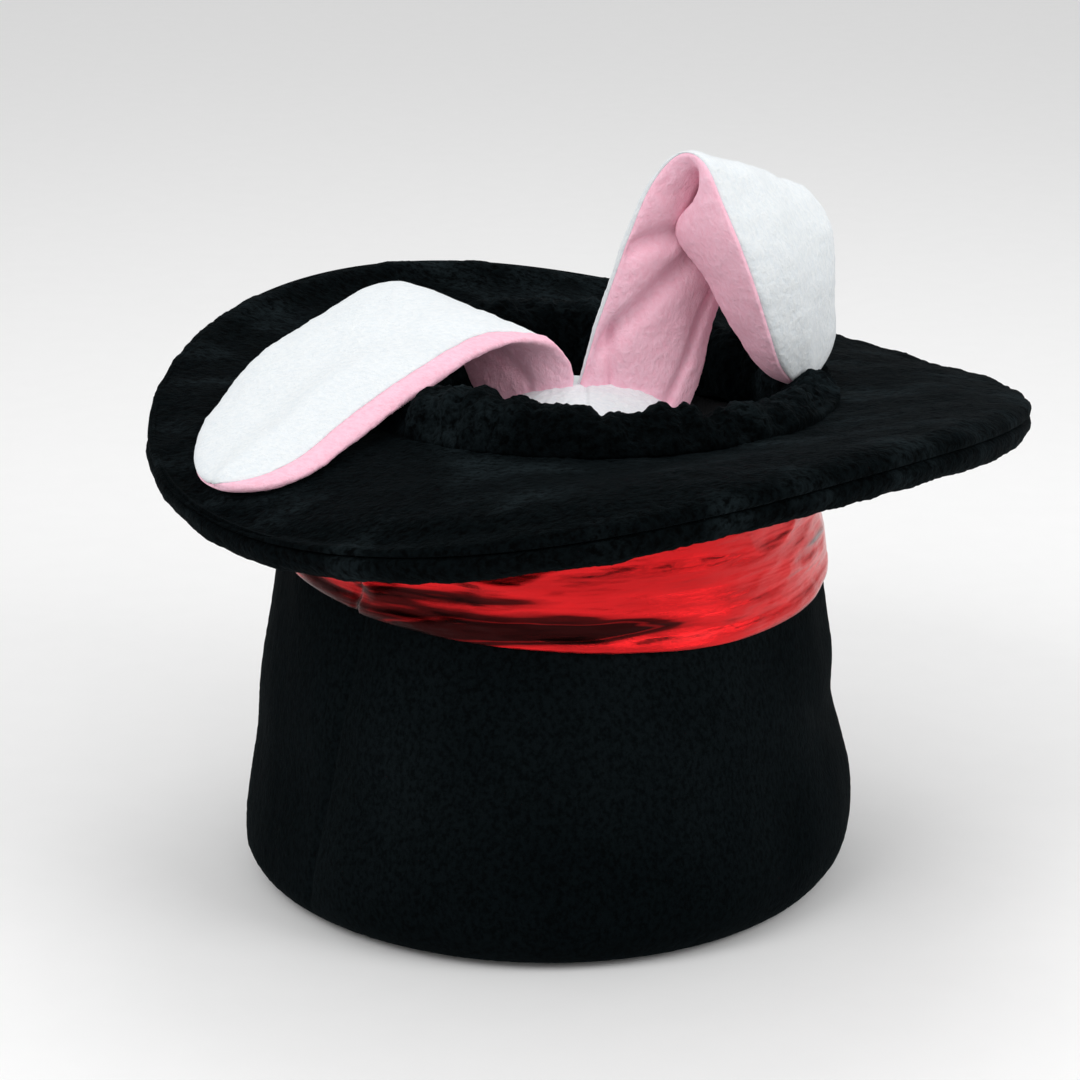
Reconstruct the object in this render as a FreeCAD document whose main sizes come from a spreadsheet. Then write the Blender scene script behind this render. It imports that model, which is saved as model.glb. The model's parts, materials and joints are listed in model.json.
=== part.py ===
"""Plush top hat standing on its crown, with a rabbit glove puppet inside.

A parametric FreeCAD document: the driving sizes are in the sheet "Sizes", in
millimetres and degrees, and each sub-part is an object bound to them. The frame
has +Z up, its origin at the centre of the crown's flat tip, on the surface the
hat stands on, and the rabbit faces -Y. Each sub-part is written to parts/ as STEP.
"""
import FreeCAD
import Part
import math
import os

import Sketcher

from FreeCAD import Placement, Rotation, Vector

SIZES = [
    ("crown_radius", 103.0, "widest radius of the crown"),
    ("crown_top_radius", 86.0, "radius of the crown where it meets the brim"),
    ("crown_corner", 17.0, "rounding between the crown's tip and its side"),
    ("crown_rise", 146.8, "height of the crown's side panel"),
    ("plush_thickness", 3.0, "plush with its pile"),
    ("foam_thickness", 4.0, "foam sheet inside the crown"),
    ("lining_thickness", 1.0, "woven lining"),
    ("layer_gap", 0.2, "gap between neighbouring layers"),
    ("opening_radius", 42.2, "hand opening in the crown's tip"),
    ("binding_thickness", 2.0, "knitted cuff of the hand opening"),
    ("binding_rise", 6.0, "height of that cuff"),
    ("band_thickness", 0.8, "shiny band round the crown"),
    ("band_lower_edge", 113.5, "height of the band's lower edge on the axis"),
    ("band_side_tilt", 4.3, "tilt of that edge, down to +X"),
    ("band_front_tilt", 5.1, "tilt of that edge, down to -Y"),
    ("brim_offset", 12.0, "brim's centre, along +X from the crown's axis"),
    ("brim_length", 145.0, "half length of the brim along X"),
    ("brim_width", 132.0, "half width of the brim along Y"),
    ("mouth_length", 70.0, "half length of the brim's inner edge"),
    ("mouth_width", 66.0, "half width of the brim's inner edge"),
    ("brim_inner_level", 162.0, "height of the brim's top at its inner edge"),
    ("brim_outer_level", 161.0, "mean height of the brim's rim"),
    ("brim_tilt", 9.0, "how much the rim rises towards the back"),
    ("brim_warp", 12.0, "how much the rim curls up at two sides"),
    ("brim_cover", 2.5, "thickness of each brim cover"),
    ("brim_depth", 12.5, "padded thickness of the brim half way out"),
    ("brim_rim_depth", 7.0, "padded thickness at the rim's seam"),
    ("collar_offset", 15.0, "gathered collar's centre, along +X"),
    ("collar_length", 71.0, "half length of the collar's ridge"),
    ("collar_width", 65.0, "half width of the collar's ridge"),
    ("collar_half", 9.0, "half of the collar's width"),
    ("collar_drop", 150.0, "height of the collar's lower inside edge"),
    ("collar_level", 175.0, "mean height of the collar's ridge"),
    ("collar_tilt", 6.0, "how much the ridge falls towards +X"),
    ("collar_dip", 13.0, "how far the folded ear presses the ridge down"),
    ("elastic_half", 1.6, "half of the elastic cord's square section"),
    ("rabbit_shift", 12.0, "rabbit's axis, along +X"),
    ("rabbit_back", 4.0, "rabbit's axis, along +Y"),
    ("head_radius", 42.0, "rabbit's head"),
    ("head_level", 128.0, "height of the head's centre"),
    ("muzzle_radius", 15.0, "rabbit's muzzle"),
    ("muzzle_reach", 33.0, "muzzle's centre in front of the head's centre"),
    ("muzzle_drop", 7.0, "muzzle's centre below the head's centre"),
    ("neck_radius", 19.2, "opening in the head for the neck"),
    ("pocket_radius", 10.0, "finger pocket in the head"),
    ("pocket_wall", 1.5, "finger pocket's cloth"),
    ("pocket_base", 92.0, "height of the pocket's open end"),
    ("pocket_top", 124.0, "height of the pocket's closed end"),
    ("eye_radius", 6.0, "bead eye"),
    ("eye_side", 27.0, "eye's direction from straight ahead"),
    ("eye_lift", 12.0, "eye's direction above level"),
    ("shank_radius", 1.6, "shank behind the eye"),
    ("nose_length", 7.0, "half width of the nose"),
    ("nose_rise", 5.0, "half height of the nose"),
    ("torso_radius", 36.0, "sleeve of the torso at its lower end"),
    ("shoulder_radius", 24.5, "sleeve of the torso at the shoulders"),
    ("torso_base", 20.0, "height of the sleeve's lower end"),
    ("shoulder_level", 80.0, "height of the shoulders"),
    ("neck_level", 90.2, "height of the neck's seam"),
    ("skirt_outer", 62.0, "outer folds of the gathered skirt"),
    ("skirt_inner", 44.0, "inner folds of the gathered skirt"),
    ("skirt_base", 9.0, "height of the skirt's lower end"),
    ("skirt_rise", 11.0, "height of the skirt gathered in the hat"),
    ("skirt_fold", 4.0, "depth of the skirt's outer folds"),
    ("arm_radius", 7.5, "arm"),
    ("arm_length", 34.0, "from the shoulder to the paw's centre"),
    ("arm_spread", 15.0, "arm's lean away from the body"),
    ("arm_pivot_side", 34.0, "shoulder joint, from the rabbit's axis"),
    ("arm_pivot_level", 72.0, "height of the shoulder joint"),
    ("arm_cover", 2.5, "arm's plush"),
    ("ear_length", 150.0, "ear from its root to its tip"),
    ("ear_half_width", 28.0, "half of the ear's greatest width"),
    ("ear_root_half", 18.0, "half of the ear's width at its root"),
    ("ear_flare", 45.0, "distance over which the ear widens"),
    ("ear_back_cloth", 1.4, "white plush on the back of the ear"),
    ("ear_wadding", 1.6, "wadding inside the ear"),
    ("ear_front_cloth", 1.4, "pink plush on the front of the ear"),
    ("ear_inset", 2.0, "wadding stops this far inside the seam"),
    ("ear_head_gap", 4.8, "ear's root stays this far from the head"),
    ("ear_roll_half", 24.0, "half length of that roll"),
]

# Each ear is flat cloth, folded once. Its root, the directions of its lower and
# upper half and a line near its fold come from how the ear lies at rest.
EARS = {
    "left_ear": {
        "root": Vector(-9.7, 6.0, 163.0),
        "lower": Vector(-0.24, 0.10, 0.97),
        "upper": Vector(-0.754, -0.594, -0.285),
        "fold_hint": Vector(55.0, -34.0, -9.0),
        "fold_reach": 33.0,
        "slab_start": 7.0,
        "roll_radius": 5.5,
    },
    "right_ear": {
        "root": Vector(26.5, 8.0, 159.0),
        "lower": Vector(0.42, 0.05, 0.905),
        "upper": Vector(0.30, -0.05, -0.95),
        "fold_hint": Vector(0.85, 0.50, -0.10),
        "fold_reach": 84.0,
        "slab_start": 13.5,
        "roll_radius": 10.0,
    },
}

RING_SECTIONS = 36
SKIRT_FOLDS = 3
BRIM_BACK = math.radians(87.0)
BRIM_CURL = math.radians(130.0)
COLLAR_PRESSED = math.radians(202.0)
COLLAR_PRESS_SPREAD = math.radians(34.0)
BRIM_BLEND = 1.6
FAR = 400.0


def make_sheet(doc):
    """The driving sizes, one aliased cell each."""
    sheet = doc.addObject("Spreadsheet::Sheet", "Sizes")
    for row, (alias, value, note) in enumerate(SIZES, start=1):
        sheet.set(f"A{row}", note)
        sheet.set(f"B{row}", str(value))
        sheet.setAlias(f"B{row}", alias)
    doc.recompute()
    return sheet


def bind(thing, **bindings):
    """Tie properties to expressions on the sheet; a double underscore stands for a dot."""
    for name, expression in bindings.items():
        thing.setExpression(name.replace("__", "."), expression)


def size(sheet, name):
    """One driving size as a number."""
    return float(sheet.get(name))


def origin_plane(body, role):
    """One of the body's own origin planes."""
    return next(item for item in body.Origin.OriginFeatures if item.Role == role)


def add_arc(sketch, start, end, radius, bend_left):
    """An arc from start to end, bulging to the left or right of that direction."""
    chord = end.sub(start)
    middle = start.add(end).multiply(0.5)
    across = Vector(-chord.y, chord.x, 0).normalize()
    away = math.sqrt(max(radius ** 2 - (chord.Length / 2) ** 2, 0.0))
    centre = middle.sub(across.multiply(away if bend_left else -away))
    turn_start = math.atan2(start.y - centre.y, start.x - centre.x)
    turn_end = math.atan2(end.y - centre.y, end.x - centre.x)
    circle = Part.Circle(centre, Vector(0, 0, 1), radius)
    if bend_left:
        return sketch.addGeometry(Part.ArcOfCircle(circle, turn_end, turn_start), False), (2, 1)
    return sketch.addGeometry(Part.ArcOfCircle(circle, turn_start, turn_end), False), (1, 2)


def draw_outline(sketch, corners):
    """A closed outline whose corners and arc radii are expressions on the sheet.

    A corner is (x, y) when a line leaves it, or (x, y, radius, bend_left) when an
    arc leaves it.
    """
    places = []
    for corner in corners:
        across = float(sketch.evalExpression(corner[0]))
        along = float(sketch.evalExpression(corner[1]))
        places.append(Vector(across, along, 0))
    edges = []
    for index, corner in enumerate(corners):
        start = places[index]
        end = places[(index + 1) % len(places)]
        if len(corner) == 2:
            edge = sketch.addGeometry(Part.LineSegment(start, end), False)
            edges.append((edge, (1, 2)))
        else:
            radius = float(sketch.evalExpression(corner[2]))
            edges.append(add_arc(sketch, start, end, radius, corner[3]))
            number = sketch.addConstraint(Sketcher.Constraint("Radius", edges[-1][0], radius))
            sketch.setExpression(f"Constraints[{number}]", corner[2])
    for index, (edge, ends) in enumerate(edges):
        following, following_ends = edges[(index + 1) % len(edges)]
        sketch.addConstraint(
            Sketcher.Constraint("Coincident", edge, ends[1], following, following_ends[0])
        )
        for kind, axis, value in (("DistanceX", 0, places[index].x), ("DistanceY", 1, places[index].y)):
            number = sketch.addConstraint(Sketcher.Constraint(kind, -1, 1, edge, ends[0], value))
            sketch.setExpression(f"Constraints[{number}]", corners[index][axis])


def new_sketch(doc, label, role):
    """A body with one empty sketch on the named origin plane."""
    body = doc.addObject("PartDesign::Body", label)
    body.Label = label
    sketch = body.newObject("Sketcher::SketchObject", f"{label}_outline")
    sketch.AttachmentSupport = [(origin_plane(body, role), "")]
    sketch.MapMode = "FlatFace"
    doc.recompute()
    return body, sketch


def revolved(doc, label, corners):
    """A body turned about the vertical axis from an outline in radius and height."""
    body, sketch = new_sketch(doc, label, "XZ_Plane")
    draw_outline(sketch, corners)
    turn = body.newObject("PartDesign::Revolution", f"{label}_turn")
    turn.Profile = sketch
    turn.ReferenceAxis = (sketch, ["V_Axis"])
    turn.Angle = 360
    return body


def on_rabbit_axis(item):
    """Stand an object on the rabbit's own axis."""
    bind(item, Placement__Base__x="Sizes.rabbit_shift", Placement__Base__y="Sizes.rabbit_back")
    return item


def boolean(doc, kind, label, first, second):
    """A two-operand boolean."""
    item = doc.addObject(f"Part::{kind}", label)
    item.Label = label
    item.Base = first
    item.Tool = second
    return item


# ---------------------------------------------------------------- hat: crown


def crown_layer(doc, label, outer, inner, tip_corner=None):
    """One layer of the crown between two depths below its outer surface."""
    tip = "Sizes.crown_radius - Sizes.crown_corner"
    corners = [
        (tip, outer, f"Sizes.crown_corner - ({outer})", False),
        (f"Sizes.crown_radius - ({outer})", "Sizes.crown_corner"),
        (f"Sizes.crown_top_radius - ({outer})", "Sizes.crown_rise"),
        (f"Sizes.crown_top_radius - ({inner})", "Sizes.crown_rise"),
        (f"Sizes.crown_radius - ({inner})", "Sizes.crown_corner", f"Sizes.crown_corner - ({inner})", True),
        (tip, inner),
    ]
    if tip_corner:
        corners += [(tip_corner, inner), (tip_corner, outer)]
    return revolved(doc, label, corners)


def flat_ring(doc, label, inside, outside, low, high):
    """A flat ring about the vertical axis."""
    return revolved(doc, label, [(inside, low), (outside, low), (outside, high), (inside, high)])


def build_crown(doc):
    """Tip, side panel, foam, stiffener, lining and the cuff of the hand opening."""
    foam = "Sizes.plush_thickness + Sizes.layer_gap"
    foam_inside = f"{foam} + Sizes.foam_thickness"
    lining = f"{foam_inside} + Sizes.layer_gap"
    tip_edge = "Sizes.crown_radius - Sizes.crown_corner - Sizes.layer_gap"
    opening = "Sizes.opening_radius"
    return [
        flat_ring(doc, "crown_tip", opening, tip_edge, "0", "Sizes.plush_thickness"),
        flat_ring(doc, "tip_stiffener", f"{opening} + 2", tip_edge, foam, foam_inside),
        crown_layer(doc, "crown_side", "0", "Sizes.plush_thickness"),
        crown_layer(doc, "crown_foam", foam, foam_inside),
        crown_layer(doc, "crown_lining", lining, f"{lining} + Sizes.lining_thickness", f"{opening} + 2"),
        flat_ring(
            doc,
            "hand_opening_binding",
            f"{opening} - Sizes.layer_gap - Sizes.binding_thickness",
            f"{opening} - Sizes.layer_gap",
            "Sizes.layer_gap",
            "Sizes.layer_gap + Sizes.binding_rise",
        ),
    ]


def build_band(doc):
    """The shiny band: a thin cone round the crown, with a tilted lower edge."""
    slope = "(Sizes.crown_radius - Sizes.crown_top_radius) / (Sizes.crown_rise - Sizes.crown_corner)"
    low = "(Sizes.band_lower_edge - 22)"
    low_radius = f"Sizes.crown_top_radius + (Sizes.crown_rise - {low}) * {slope}"
    inner = "Sizes.layer_gap"
    outer = "Sizes.layer_gap + Sizes.band_thickness"
    ring = revolved(doc, "band_ring", [
        (f"{low_radius} + {inner}", low),
        (f"{low_radius} + {outer}", low),
        (f"Sizes.crown_top_radius + {outer}", "Sizes.crown_rise"),
        (f"Sizes.crown_top_radius + {inner}", "Sizes.crown_rise"),
    ])
    below = doc.addObject("Part::Box", "below_band")
    below.Length = FAR
    below.Width = FAR
    below.Height = FAR
    tilt = Rotation(Vector(0, 1, 0), size(doc.Sizes, "band_side_tilt"))
    tilt = tilt.multiply(Rotation(Vector(1, 0, 0), size(doc.Sizes, "band_front_tilt")))
    corner = Vector(0, 0, size(doc.Sizes, "band_lower_edge")).add(
        tilt.multVec(Vector(-FAR / 2, -FAR / 2, -FAR))
    )
    below.Placement = Placement(corner, tilt)
    return [boolean(doc, "Cut", "hat_band", ring, below)]


# ---------------------------------------------------------------- hat: brim and collar


def ellipse_radius(angle, half_length, half_width):
    """Distance from an ellipse's centre to its edge at this angle."""
    return 1 / math.hypot(math.cos(angle) / half_length, math.sin(angle) / half_width)


class Brim:
    """The warped brim: heights of its two faces at an angle and a reach.

    The reach is 0 at the mouth and 1 at the rim.
    """

    flat_reach = 0.42
    deep_reach = 0.78

    def __init__(self, sheet):
        self.sheet = sheet
        self.centre = Vector(size(sheet, "brim_offset"), 0, 0)

    def radius(self, angle, reach):
        inner = ellipse_radius(angle, size(self.sheet, "mouth_length"), size(self.sheet, "mouth_width"))
        outer = ellipse_radius(angle, size(self.sheet, "brim_length"), size(self.sheet, "brim_width"))
        return inner + reach * (outer - inner)

    def top(self, angle, reach):
        inner = size(self.sheet, "brim_inner_level")
        rim = size(self.sheet, "brim_outer_level")
        rim += size(self.sheet, "brim_tilt") * math.cos(angle - BRIM_BACK)
        rim += size(self.sheet, "brim_warp") * math.cos(2 * (angle - BRIM_CURL))
        return inner + (rim - inner) * reach ** BRIM_BLEND

    def bottom(self, angle, reach):
        flat_level = size(self.sheet, "crown_rise") + size(self.sheet, "layer_gap")
        if reach <= self.flat_reach:
            return flat_level
        if reach <= self.deep_reach:
            return self.top(angle, reach) - size(self.sheet, "brim_depth")
        return self.top(angle, reach) - size(self.sheet, "brim_rim_depth")

    def place(self, angle, reach, level):
        radius = self.radius(angle, reach)
        return self.centre.add(Vector(radius * math.cos(angle), radius * math.sin(angle), level))

    def top_near(self, point):
        """Height of the top face above any point of the ground plane."""
        away = point.sub(self.centre)
        angle = math.atan2(away.y, away.x)
        inner = self.radius(angle, 0)
        reach = (math.hypot(away.x, away.y) - inner) / (self.radius(angle, 1) - inner)
        return self.top(angle, max(reach, 0.0))


def ring_solid(section_at):
    """A closed loft through upright sections all round the axis."""
    wires = []
    for step in range(RING_SECTIONS):
        points = section_at(2 * math.pi * step / RING_SECTIONS)
        wires.append(Part.makePolygon(points + points[:1]))
    return Part.makeLoft(wires, True, False, True)


def shape_feature(doc, label, shape):
    """A sub-part whose shape is made by Part's own functions."""
    item = doc.addObject("Part::Feature", label)
    item.Label = label
    item.Shape = shape
    return item


def build_brim(doc):
    """Top cover, foam and under cover, from the mouth to the rim."""
    brim = Brim(doc.Sizes)
    cover = size(doc.Sizes, "brim_cover")
    gap = size(doc.Sizes, "layer_gap")
    reaches = (0.0, brim.flat_reach, 0.6, brim.deep_reach, 1.0)
    foam_reaches = (0.02, brim.flat_reach, 0.6, brim.deep_reach, 0.93)

    def between(upper, lower, stations):
        def section(angle):
            above = [brim.place(angle, reach, upper(angle, reach)) for reach in stations]
            below = [brim.place(angle, reach, lower(angle, reach)) for reach in reversed(stations)]
            return above + below
        return ring_solid(section)

    def foam_bottom(angle, reach):
        if reach > 0.9:
            return brim.top(angle, reach) - cover - gap - 1.5
        return brim.bottom(angle, reach) + cover + gap

    top_cover = between(brim.top, lambda angle, reach: brim.top(angle, reach) - cover, reaches)
    foam = between(lambda angle, reach: brim.top(angle, reach) - cover - gap, foam_bottom, foam_reaches)
    under_cover = between(lambda angle, reach: brim.bottom(angle, reach) + cover, brim.bottom, reaches)
    return [
        shape_feature(doc, "brim_top_cover", top_cover),
        shape_feature(doc, "brim_foam", foam),
        shape_feature(doc, "brim_under_cover", under_cover),
    ]


def collar_ridge(sheet, angle):
    """Height of the collar's ridge; the folded ear presses it down on one side."""
    level = size(sheet, "collar_level") - size(sheet, "collar_tilt") * math.cos(angle)
    away = math.remainder(angle - COLLAR_PRESSED, 2 * math.pi) / COLLAR_PRESS_SPREAD
    return level - size(sheet, "collar_dip") * math.exp(-away ** 2)


def build_collar(doc):
    """The gathered collar round the mouth, and the elastic cord in its channel."""
    sheet = doc.Sizes
    brim = Brim(sheet)
    centre = Vector(size(sheet, "collar_offset"), 0, 0)
    half = size(sheet, "collar_half")
    elastic = size(sheet, "elastic_half")
    channel = elastic + size(sheet, "layer_gap")
    cloth = size(sheet, "plush_thickness")

    def place(angle, shift, level):
        radius = ellipse_radius(angle, size(sheet, "collar_length"), size(sheet, "collar_width")) + shift
        return centre.add(Vector(radius * math.cos(angle), radius * math.sin(angle), level))

    def collar_section(angle):
        ridge = collar_ridge(sheet, angle)
        seat = brim.top_near(place(angle, half, 0)) + size(sheet, "brim_cover") / 4
        shoulder = seat + 0.65 * (ridge - seat)
        return [
            place(angle, half, seat),
            place(angle, 0.8 * half, shoulder),
            place(angle, 0.3 * half, ridge),
            place(angle, -0.3 * half, ridge),
            place(angle, -0.8 * half, shoulder),
            place(angle, -half, seat),
            place(angle, -half, size(sheet, "collar_drop")),
            place(angle, -half + cloth, size(sheet, "collar_drop")),
            place(angle, -half + cloth, seat),
        ]

    def square_section(half_side):
        def section(angle):
            ridge = collar_ridge(sheet, angle)
            seat = brim.top_near(place(angle, half, 0))
            level = seat + 0.45 * (ridge - seat)
            corners = ((1, -1), (1, 1), (-1, 1), (-1, -1))
            return [place(angle, side * half_side, level + up * half_side) for side, up in corners]
        return section

    collar = ring_solid(collar_section).cut(ring_solid(square_section(channel)))
    return [
        shape_feature(doc, "mouth_collar", collar),
        shape_feature(doc, "mouth_elastic", ring_solid(square_section(elastic))),
    ]


# ---------------------------------------------------------------- rabbit


def sphere(doc, label, radius, side="0", ahead="0", above="Sizes.head_level"):
    """A ball on the rabbit's axis, moved sideways, ahead (towards -Y) and up."""
    ball = doc.addObject("Part::Sphere", label)
    bind(
        ball,
        Radius=radius,
        Placement__Base__x=f"Sizes.rabbit_shift + {side}",
        Placement__Base__y=f"Sizes.rabbit_back - ({ahead})",
        Placement__Base__z=above,
    )
    return ball


def upright_cylinder(doc, label, radius, low, high):
    """An upright cylinder on the rabbit's axis."""
    item = doc.addObject("Part::Cylinder", label)
    bind(item, Radius=radius, Height=f"{high} - ({low})", Placement__Base__z=low)
    return on_rabbit_axis(item)


def head_solid(doc, label, depth):
    """Head and muzzle together, this far below the rabbit's skin."""
    item = doc.addObject("Part::MultiFuse", label)
    item.Shapes = [
        sphere(doc, f"{label}_ball", f"Sizes.head_radius - ({depth})"),
        sphere(
            doc,
            f"{label}_muzzle",
            f"Sizes.muzzle_radius - ({depth})",
            ahead="Sizes.muzzle_reach",
            above="Sizes.head_level - Sizes.muzzle_drop",
        ),
    ]
    return item


def eye_direction(sheet, side):
    """The direction from the head's centre through an eye; side is -1 or 1."""
    turn = math.radians(size(sheet, "eye_side"))
    lift = math.radians(size(sheet, "eye_lift"))
    return Vector(
        side * math.sin(turn) * math.cos(lift),
        -math.cos(turn) * math.cos(lift),
        math.sin(lift),
    )


def eye_cylinder(doc, label, side, radius, start, length):
    """A cylinder along the eye's direction, starting this far from the head's centre."""
    sheet = doc.Sizes
    centre = Vector(size(sheet, "rabbit_shift"), size(sheet, "rabbit_back"), size(sheet, "head_level"))
    direction = eye_direction(sheet, side)
    item = doc.addObject("Part::Cylinder", label)
    bind(item, Radius=radius)
    item.Height = length
    item.Placement = Placement(centre.add(direction * start), Rotation(Vector(0, 0, 1), direction))
    return item


def build_head(doc):
    """Cover, stuffing, finger pocket, eyes with washers and nose."""
    sheet = doc.Sizes
    skin = size(sheet, "head_radius")
    cloth = size(sheet, "plush_thickness")
    gap = size(sheet, "layer_gap")
    washer_depth = skin - cloth - 2.0
    sides = (("left", -1), ("right", 1))

    holes = []
    recesses = []
    for name, side in sides:
        holes.append(eye_cylinder(doc, f"{name}_shank_hole", side, "Sizes.shank_radius + 0.2", washer_depth - 8, 14))
        recesses.append(
            eye_cylinder(doc, f"{name}_washer_recess", side, "Sizes.eye_radius + 0.4", washer_depth - 6, 6 + 2.0)
        )

    cover = doc.addObject("Part::MultiFuse", "cover_inside")
    neck_low = "Sizes.neck_level - 6"
    neck_cut = upright_cylinder(doc, "neck_cut", "Sizes.neck_radius", neck_low, "Sizes.neck_level + 10")
    cover.Shapes = [head_solid(doc, "cover_inner", "Sizes.plush_thickness"), neck_cut] + holes
    head_cover = boolean(doc, "Cut", "head_cover", head_solid(doc, "cover_outer", "0"), cover)

    removed = doc.addObject("Part::MultiFuse", "stuffing_removed")
    pocket_room = upright_cylinder(
        doc, "pocket_room", "Sizes.pocket_radius + Sizes.layer_gap", neck_low, "Sizes.pocket_top + 1"
    )
    neck_room = upright_cylinder(
        doc, "neck_room", "Sizes.neck_radius + Sizes.layer_gap", neck_low, "Sizes.neck_level + 3"
    )
    removed.Shapes = [pocket_room, neck_room] + recesses
    filling = head_solid(doc, "filling_outer", "Sizes.plush_thickness + Sizes.layer_gap")
    stuffing = boolean(doc, "Cut", "head_stuffing", filling, removed)

    pocket = revolved(doc, "finger_pocket", [
        ("Sizes.pocket_radius - Sizes.pocket_wall", "Sizes.pocket_base"),
        ("Sizes.pocket_radius", "Sizes.pocket_base"),
        ("Sizes.pocket_radius", "Sizes.pocket_top"),
        ("0", "Sizes.pocket_top"),
        ("0", "Sizes.pocket_top - Sizes.pocket_wall"),
        ("Sizes.pocket_radius - Sizes.pocket_wall", "Sizes.pocket_top - Sizes.pocket_wall"),
    ])
    on_rabbit_axis(pocket)

    pieces = [head_cover, stuffing, pocket]
    for name, side in sides:
        dome = doc.addObject("Part::Sphere", f"{name}_eye_ball")
        bind(dome, Radius="Sizes.eye_radius")
        centre = Vector(size(sheet, "rabbit_shift"), size(sheet, "rabbit_back"), size(sheet, "head_level"))
        dome.Placement.Base = centre.add(eye_direction(sheet, side) * (skin - 1.5))
        bead = boolean(doc, "Cut", f"{name}_bead", dome, sphere(doc, f"{name}_seat", f"Sizes.head_radius + {gap}"))
        shank = eye_cylinder(doc, f"{name}_shank", side, "Sizes.shank_radius", washer_depth - 3, 9)
        pieces.append(boolean(doc, "Fuse", f"{name}_eye", bead, shank))
        disc = eye_cylinder(doc, f"{name}_disc", side, "Sizes.eye_radius", washer_depth - 1.5, 1.5)
        bore = eye_cylinder(doc, f"{name}_bore", side, "Sizes.shank_radius + 0.1", washer_depth - 6, 12)
        pieces.append(boolean(doc, "Cut", f"{name}_eye_washer", disc, bore))

    bump = doc.addObject("Part::Ellipsoid", "nose_bump")
    bind(
        bump,
        Radius1="Sizes.nose_rise",
        Radius2="Sizes.nose_length",
        Radius3="Sizes.nose_rise",
        Placement__Base__x="Sizes.rabbit_shift",
        Placement__Base__y="Sizes.rabbit_back - Sizes.muzzle_reach - Sizes.muzzle_radius + 1.5",
        Placement__Base__z="Sizes.head_level - Sizes.muzzle_drop + 4",
    )
    bump.Placement.Rotation = Rotation(Vector(0, 0, 1), 90)
    seat = sphere(
        doc,
        "nose_seat",
        "Sizes.muzzle_radius + Sizes.layer_gap",
        ahead="Sizes.muzzle_reach",
        above="Sizes.head_level - Sizes.muzzle_drop",
    )
    pieces.append(boolean(doc, "Cut", "nose", bump, seat))
    return pieces


def build_torso(doc):
    """The sleeve of the torso, and the gathered skirt that ties it to the hat."""
    cloth = "Sizes.plush_thickness"
    torso = revolved(doc, "torso_sleeve", [
        (f"Sizes.torso_radius - {cloth}", "Sizes.torso_base"),
        ("Sizes.torso_radius", "Sizes.torso_base"),
        ("Sizes.shoulder_radius", "Sizes.shoulder_level"),
        ("Sizes.neck_radius - Sizes.layer_gap", "Sizes.shoulder_level + 5"),
        ("Sizes.neck_radius - Sizes.layer_gap", "Sizes.neck_level"),
        (f"Sizes.neck_radius - Sizes.layer_gap - {cloth}", "Sizes.neck_level"),
        (f"Sizes.neck_radius - Sizes.layer_gap - {cloth}", "Sizes.shoulder_level + 5"),
        (f"Sizes.shoulder_radius - {cloth}", "Sizes.shoulder_level"),
    ])
    on_rabbit_axis(torso)

    edge = "Sizes.torso_radius + Sizes.layer_gap"
    folds = []
    for fold in range(2 * SKIRT_FOLDS + 1):
        radius = "Sizes.skirt_outer - Sizes.skirt_fold" if fold % 2 else "Sizes.skirt_outer"
        folds.append((radius, f"Sizes.skirt_base + {fold} * Sizes.skirt_rise / {2 * SKIRT_FOLDS}"))
    skirt = revolved(doc, "sleeve_skirt", [("Sizes.skirt_inner", "Sizes.skirt_base")] + folds + [
        (edge, "Sizes.torso_base + Sizes.skirt_fold"),
        (edge, "Sizes.torso_base - Sizes.layer_gap"),
        ("Sizes.skirt_inner", "Sizes.torso_base - Sizes.skirt_fold"),
    ])
    on_rabbit_axis(skirt)
    return [torso, skirt]


# ---------------------------------------------------------------- arms


def capsule(doc, label, radius):
    """A round-ended bar hanging down from the origin, as long as an arm."""
    bar = doc.addObject("Part::Cylinder", f"{label}_bar")
    bind(bar, Radius=radius, Height="Sizes.arm_length", Placement__Base__z="-Sizes.arm_length")
    upper = doc.addObject("Part::Sphere", f"{label}_upper")
    bind(upper, Radius=radius)
    lower = doc.addObject("Part::Sphere", f"{label}_lower")
    bind(lower, Radius=radius, Placement__Base__z="-Sizes.arm_length")
    item = doc.addObject("Part::MultiFuse", label)
    item.Shapes = [bar, upper, lower]
    return item


def build_arm(doc, name, side):
    """Cover, stuffing and pink paw pad of one arm, hanging from its shoulder."""
    sheet = doc.Sizes
    shoulder = Vector(
        size(sheet, "rabbit_shift") + side * size(sheet, "arm_pivot_side"),
        size(sheet, "rabbit_back"),
        size(sheet, "arm_pivot_level"),
    )
    lean = Rotation(Vector(0, 1, 0), -side * size(sheet, "arm_spread"))
    skin = capsule(doc, f"{name}_skin", "Sizes.arm_radius")
    hollow = capsule(doc, f"{name}_hollow", "Sizes.arm_radius - Sizes.arm_cover")
    cover = boolean(doc, "Cut", f"{name}_cover", skin, hollow)
    stuffing = capsule(doc, f"{name}_stuffing", "Sizes.arm_radius - Sizes.arm_cover - Sizes.layer_gap")
    stuffing.Label = f"{name}_stuffing"

    disc = doc.addObject("Part::Cylinder", f"{name}_disc")
    bind(disc, Radius="Sizes.arm_radius - 2.5", Height="Sizes.arm_radius + 1.2")
    disc.Placement.Rotation = Rotation(Vector(1, 0, 0), 90)
    bind(disc, Placement__Base__z="-Sizes.arm_length")
    outside = doc.addObject("Part::Sphere", f"{name}_pad_skin")
    bind(outside, Radius="Sizes.arm_radius + 1", Placement__Base__z="-Sizes.arm_length")
    cap = boolean(doc, "Common", f"{name}_cap", disc, outside)
    seat = capsule(doc, f"{name}_seat", "Sizes.arm_radius + Sizes.layer_gap")
    pad = boolean(doc, "Cut", f"{name}_paw_pad", cap, seat)

    pieces = [cover, stuffing, pad]
    for piece in pieces:
        piece.Placement = Placement(shoulder, lean)
    return pieces


# ---------------------------------------------------------------- ears


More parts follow.
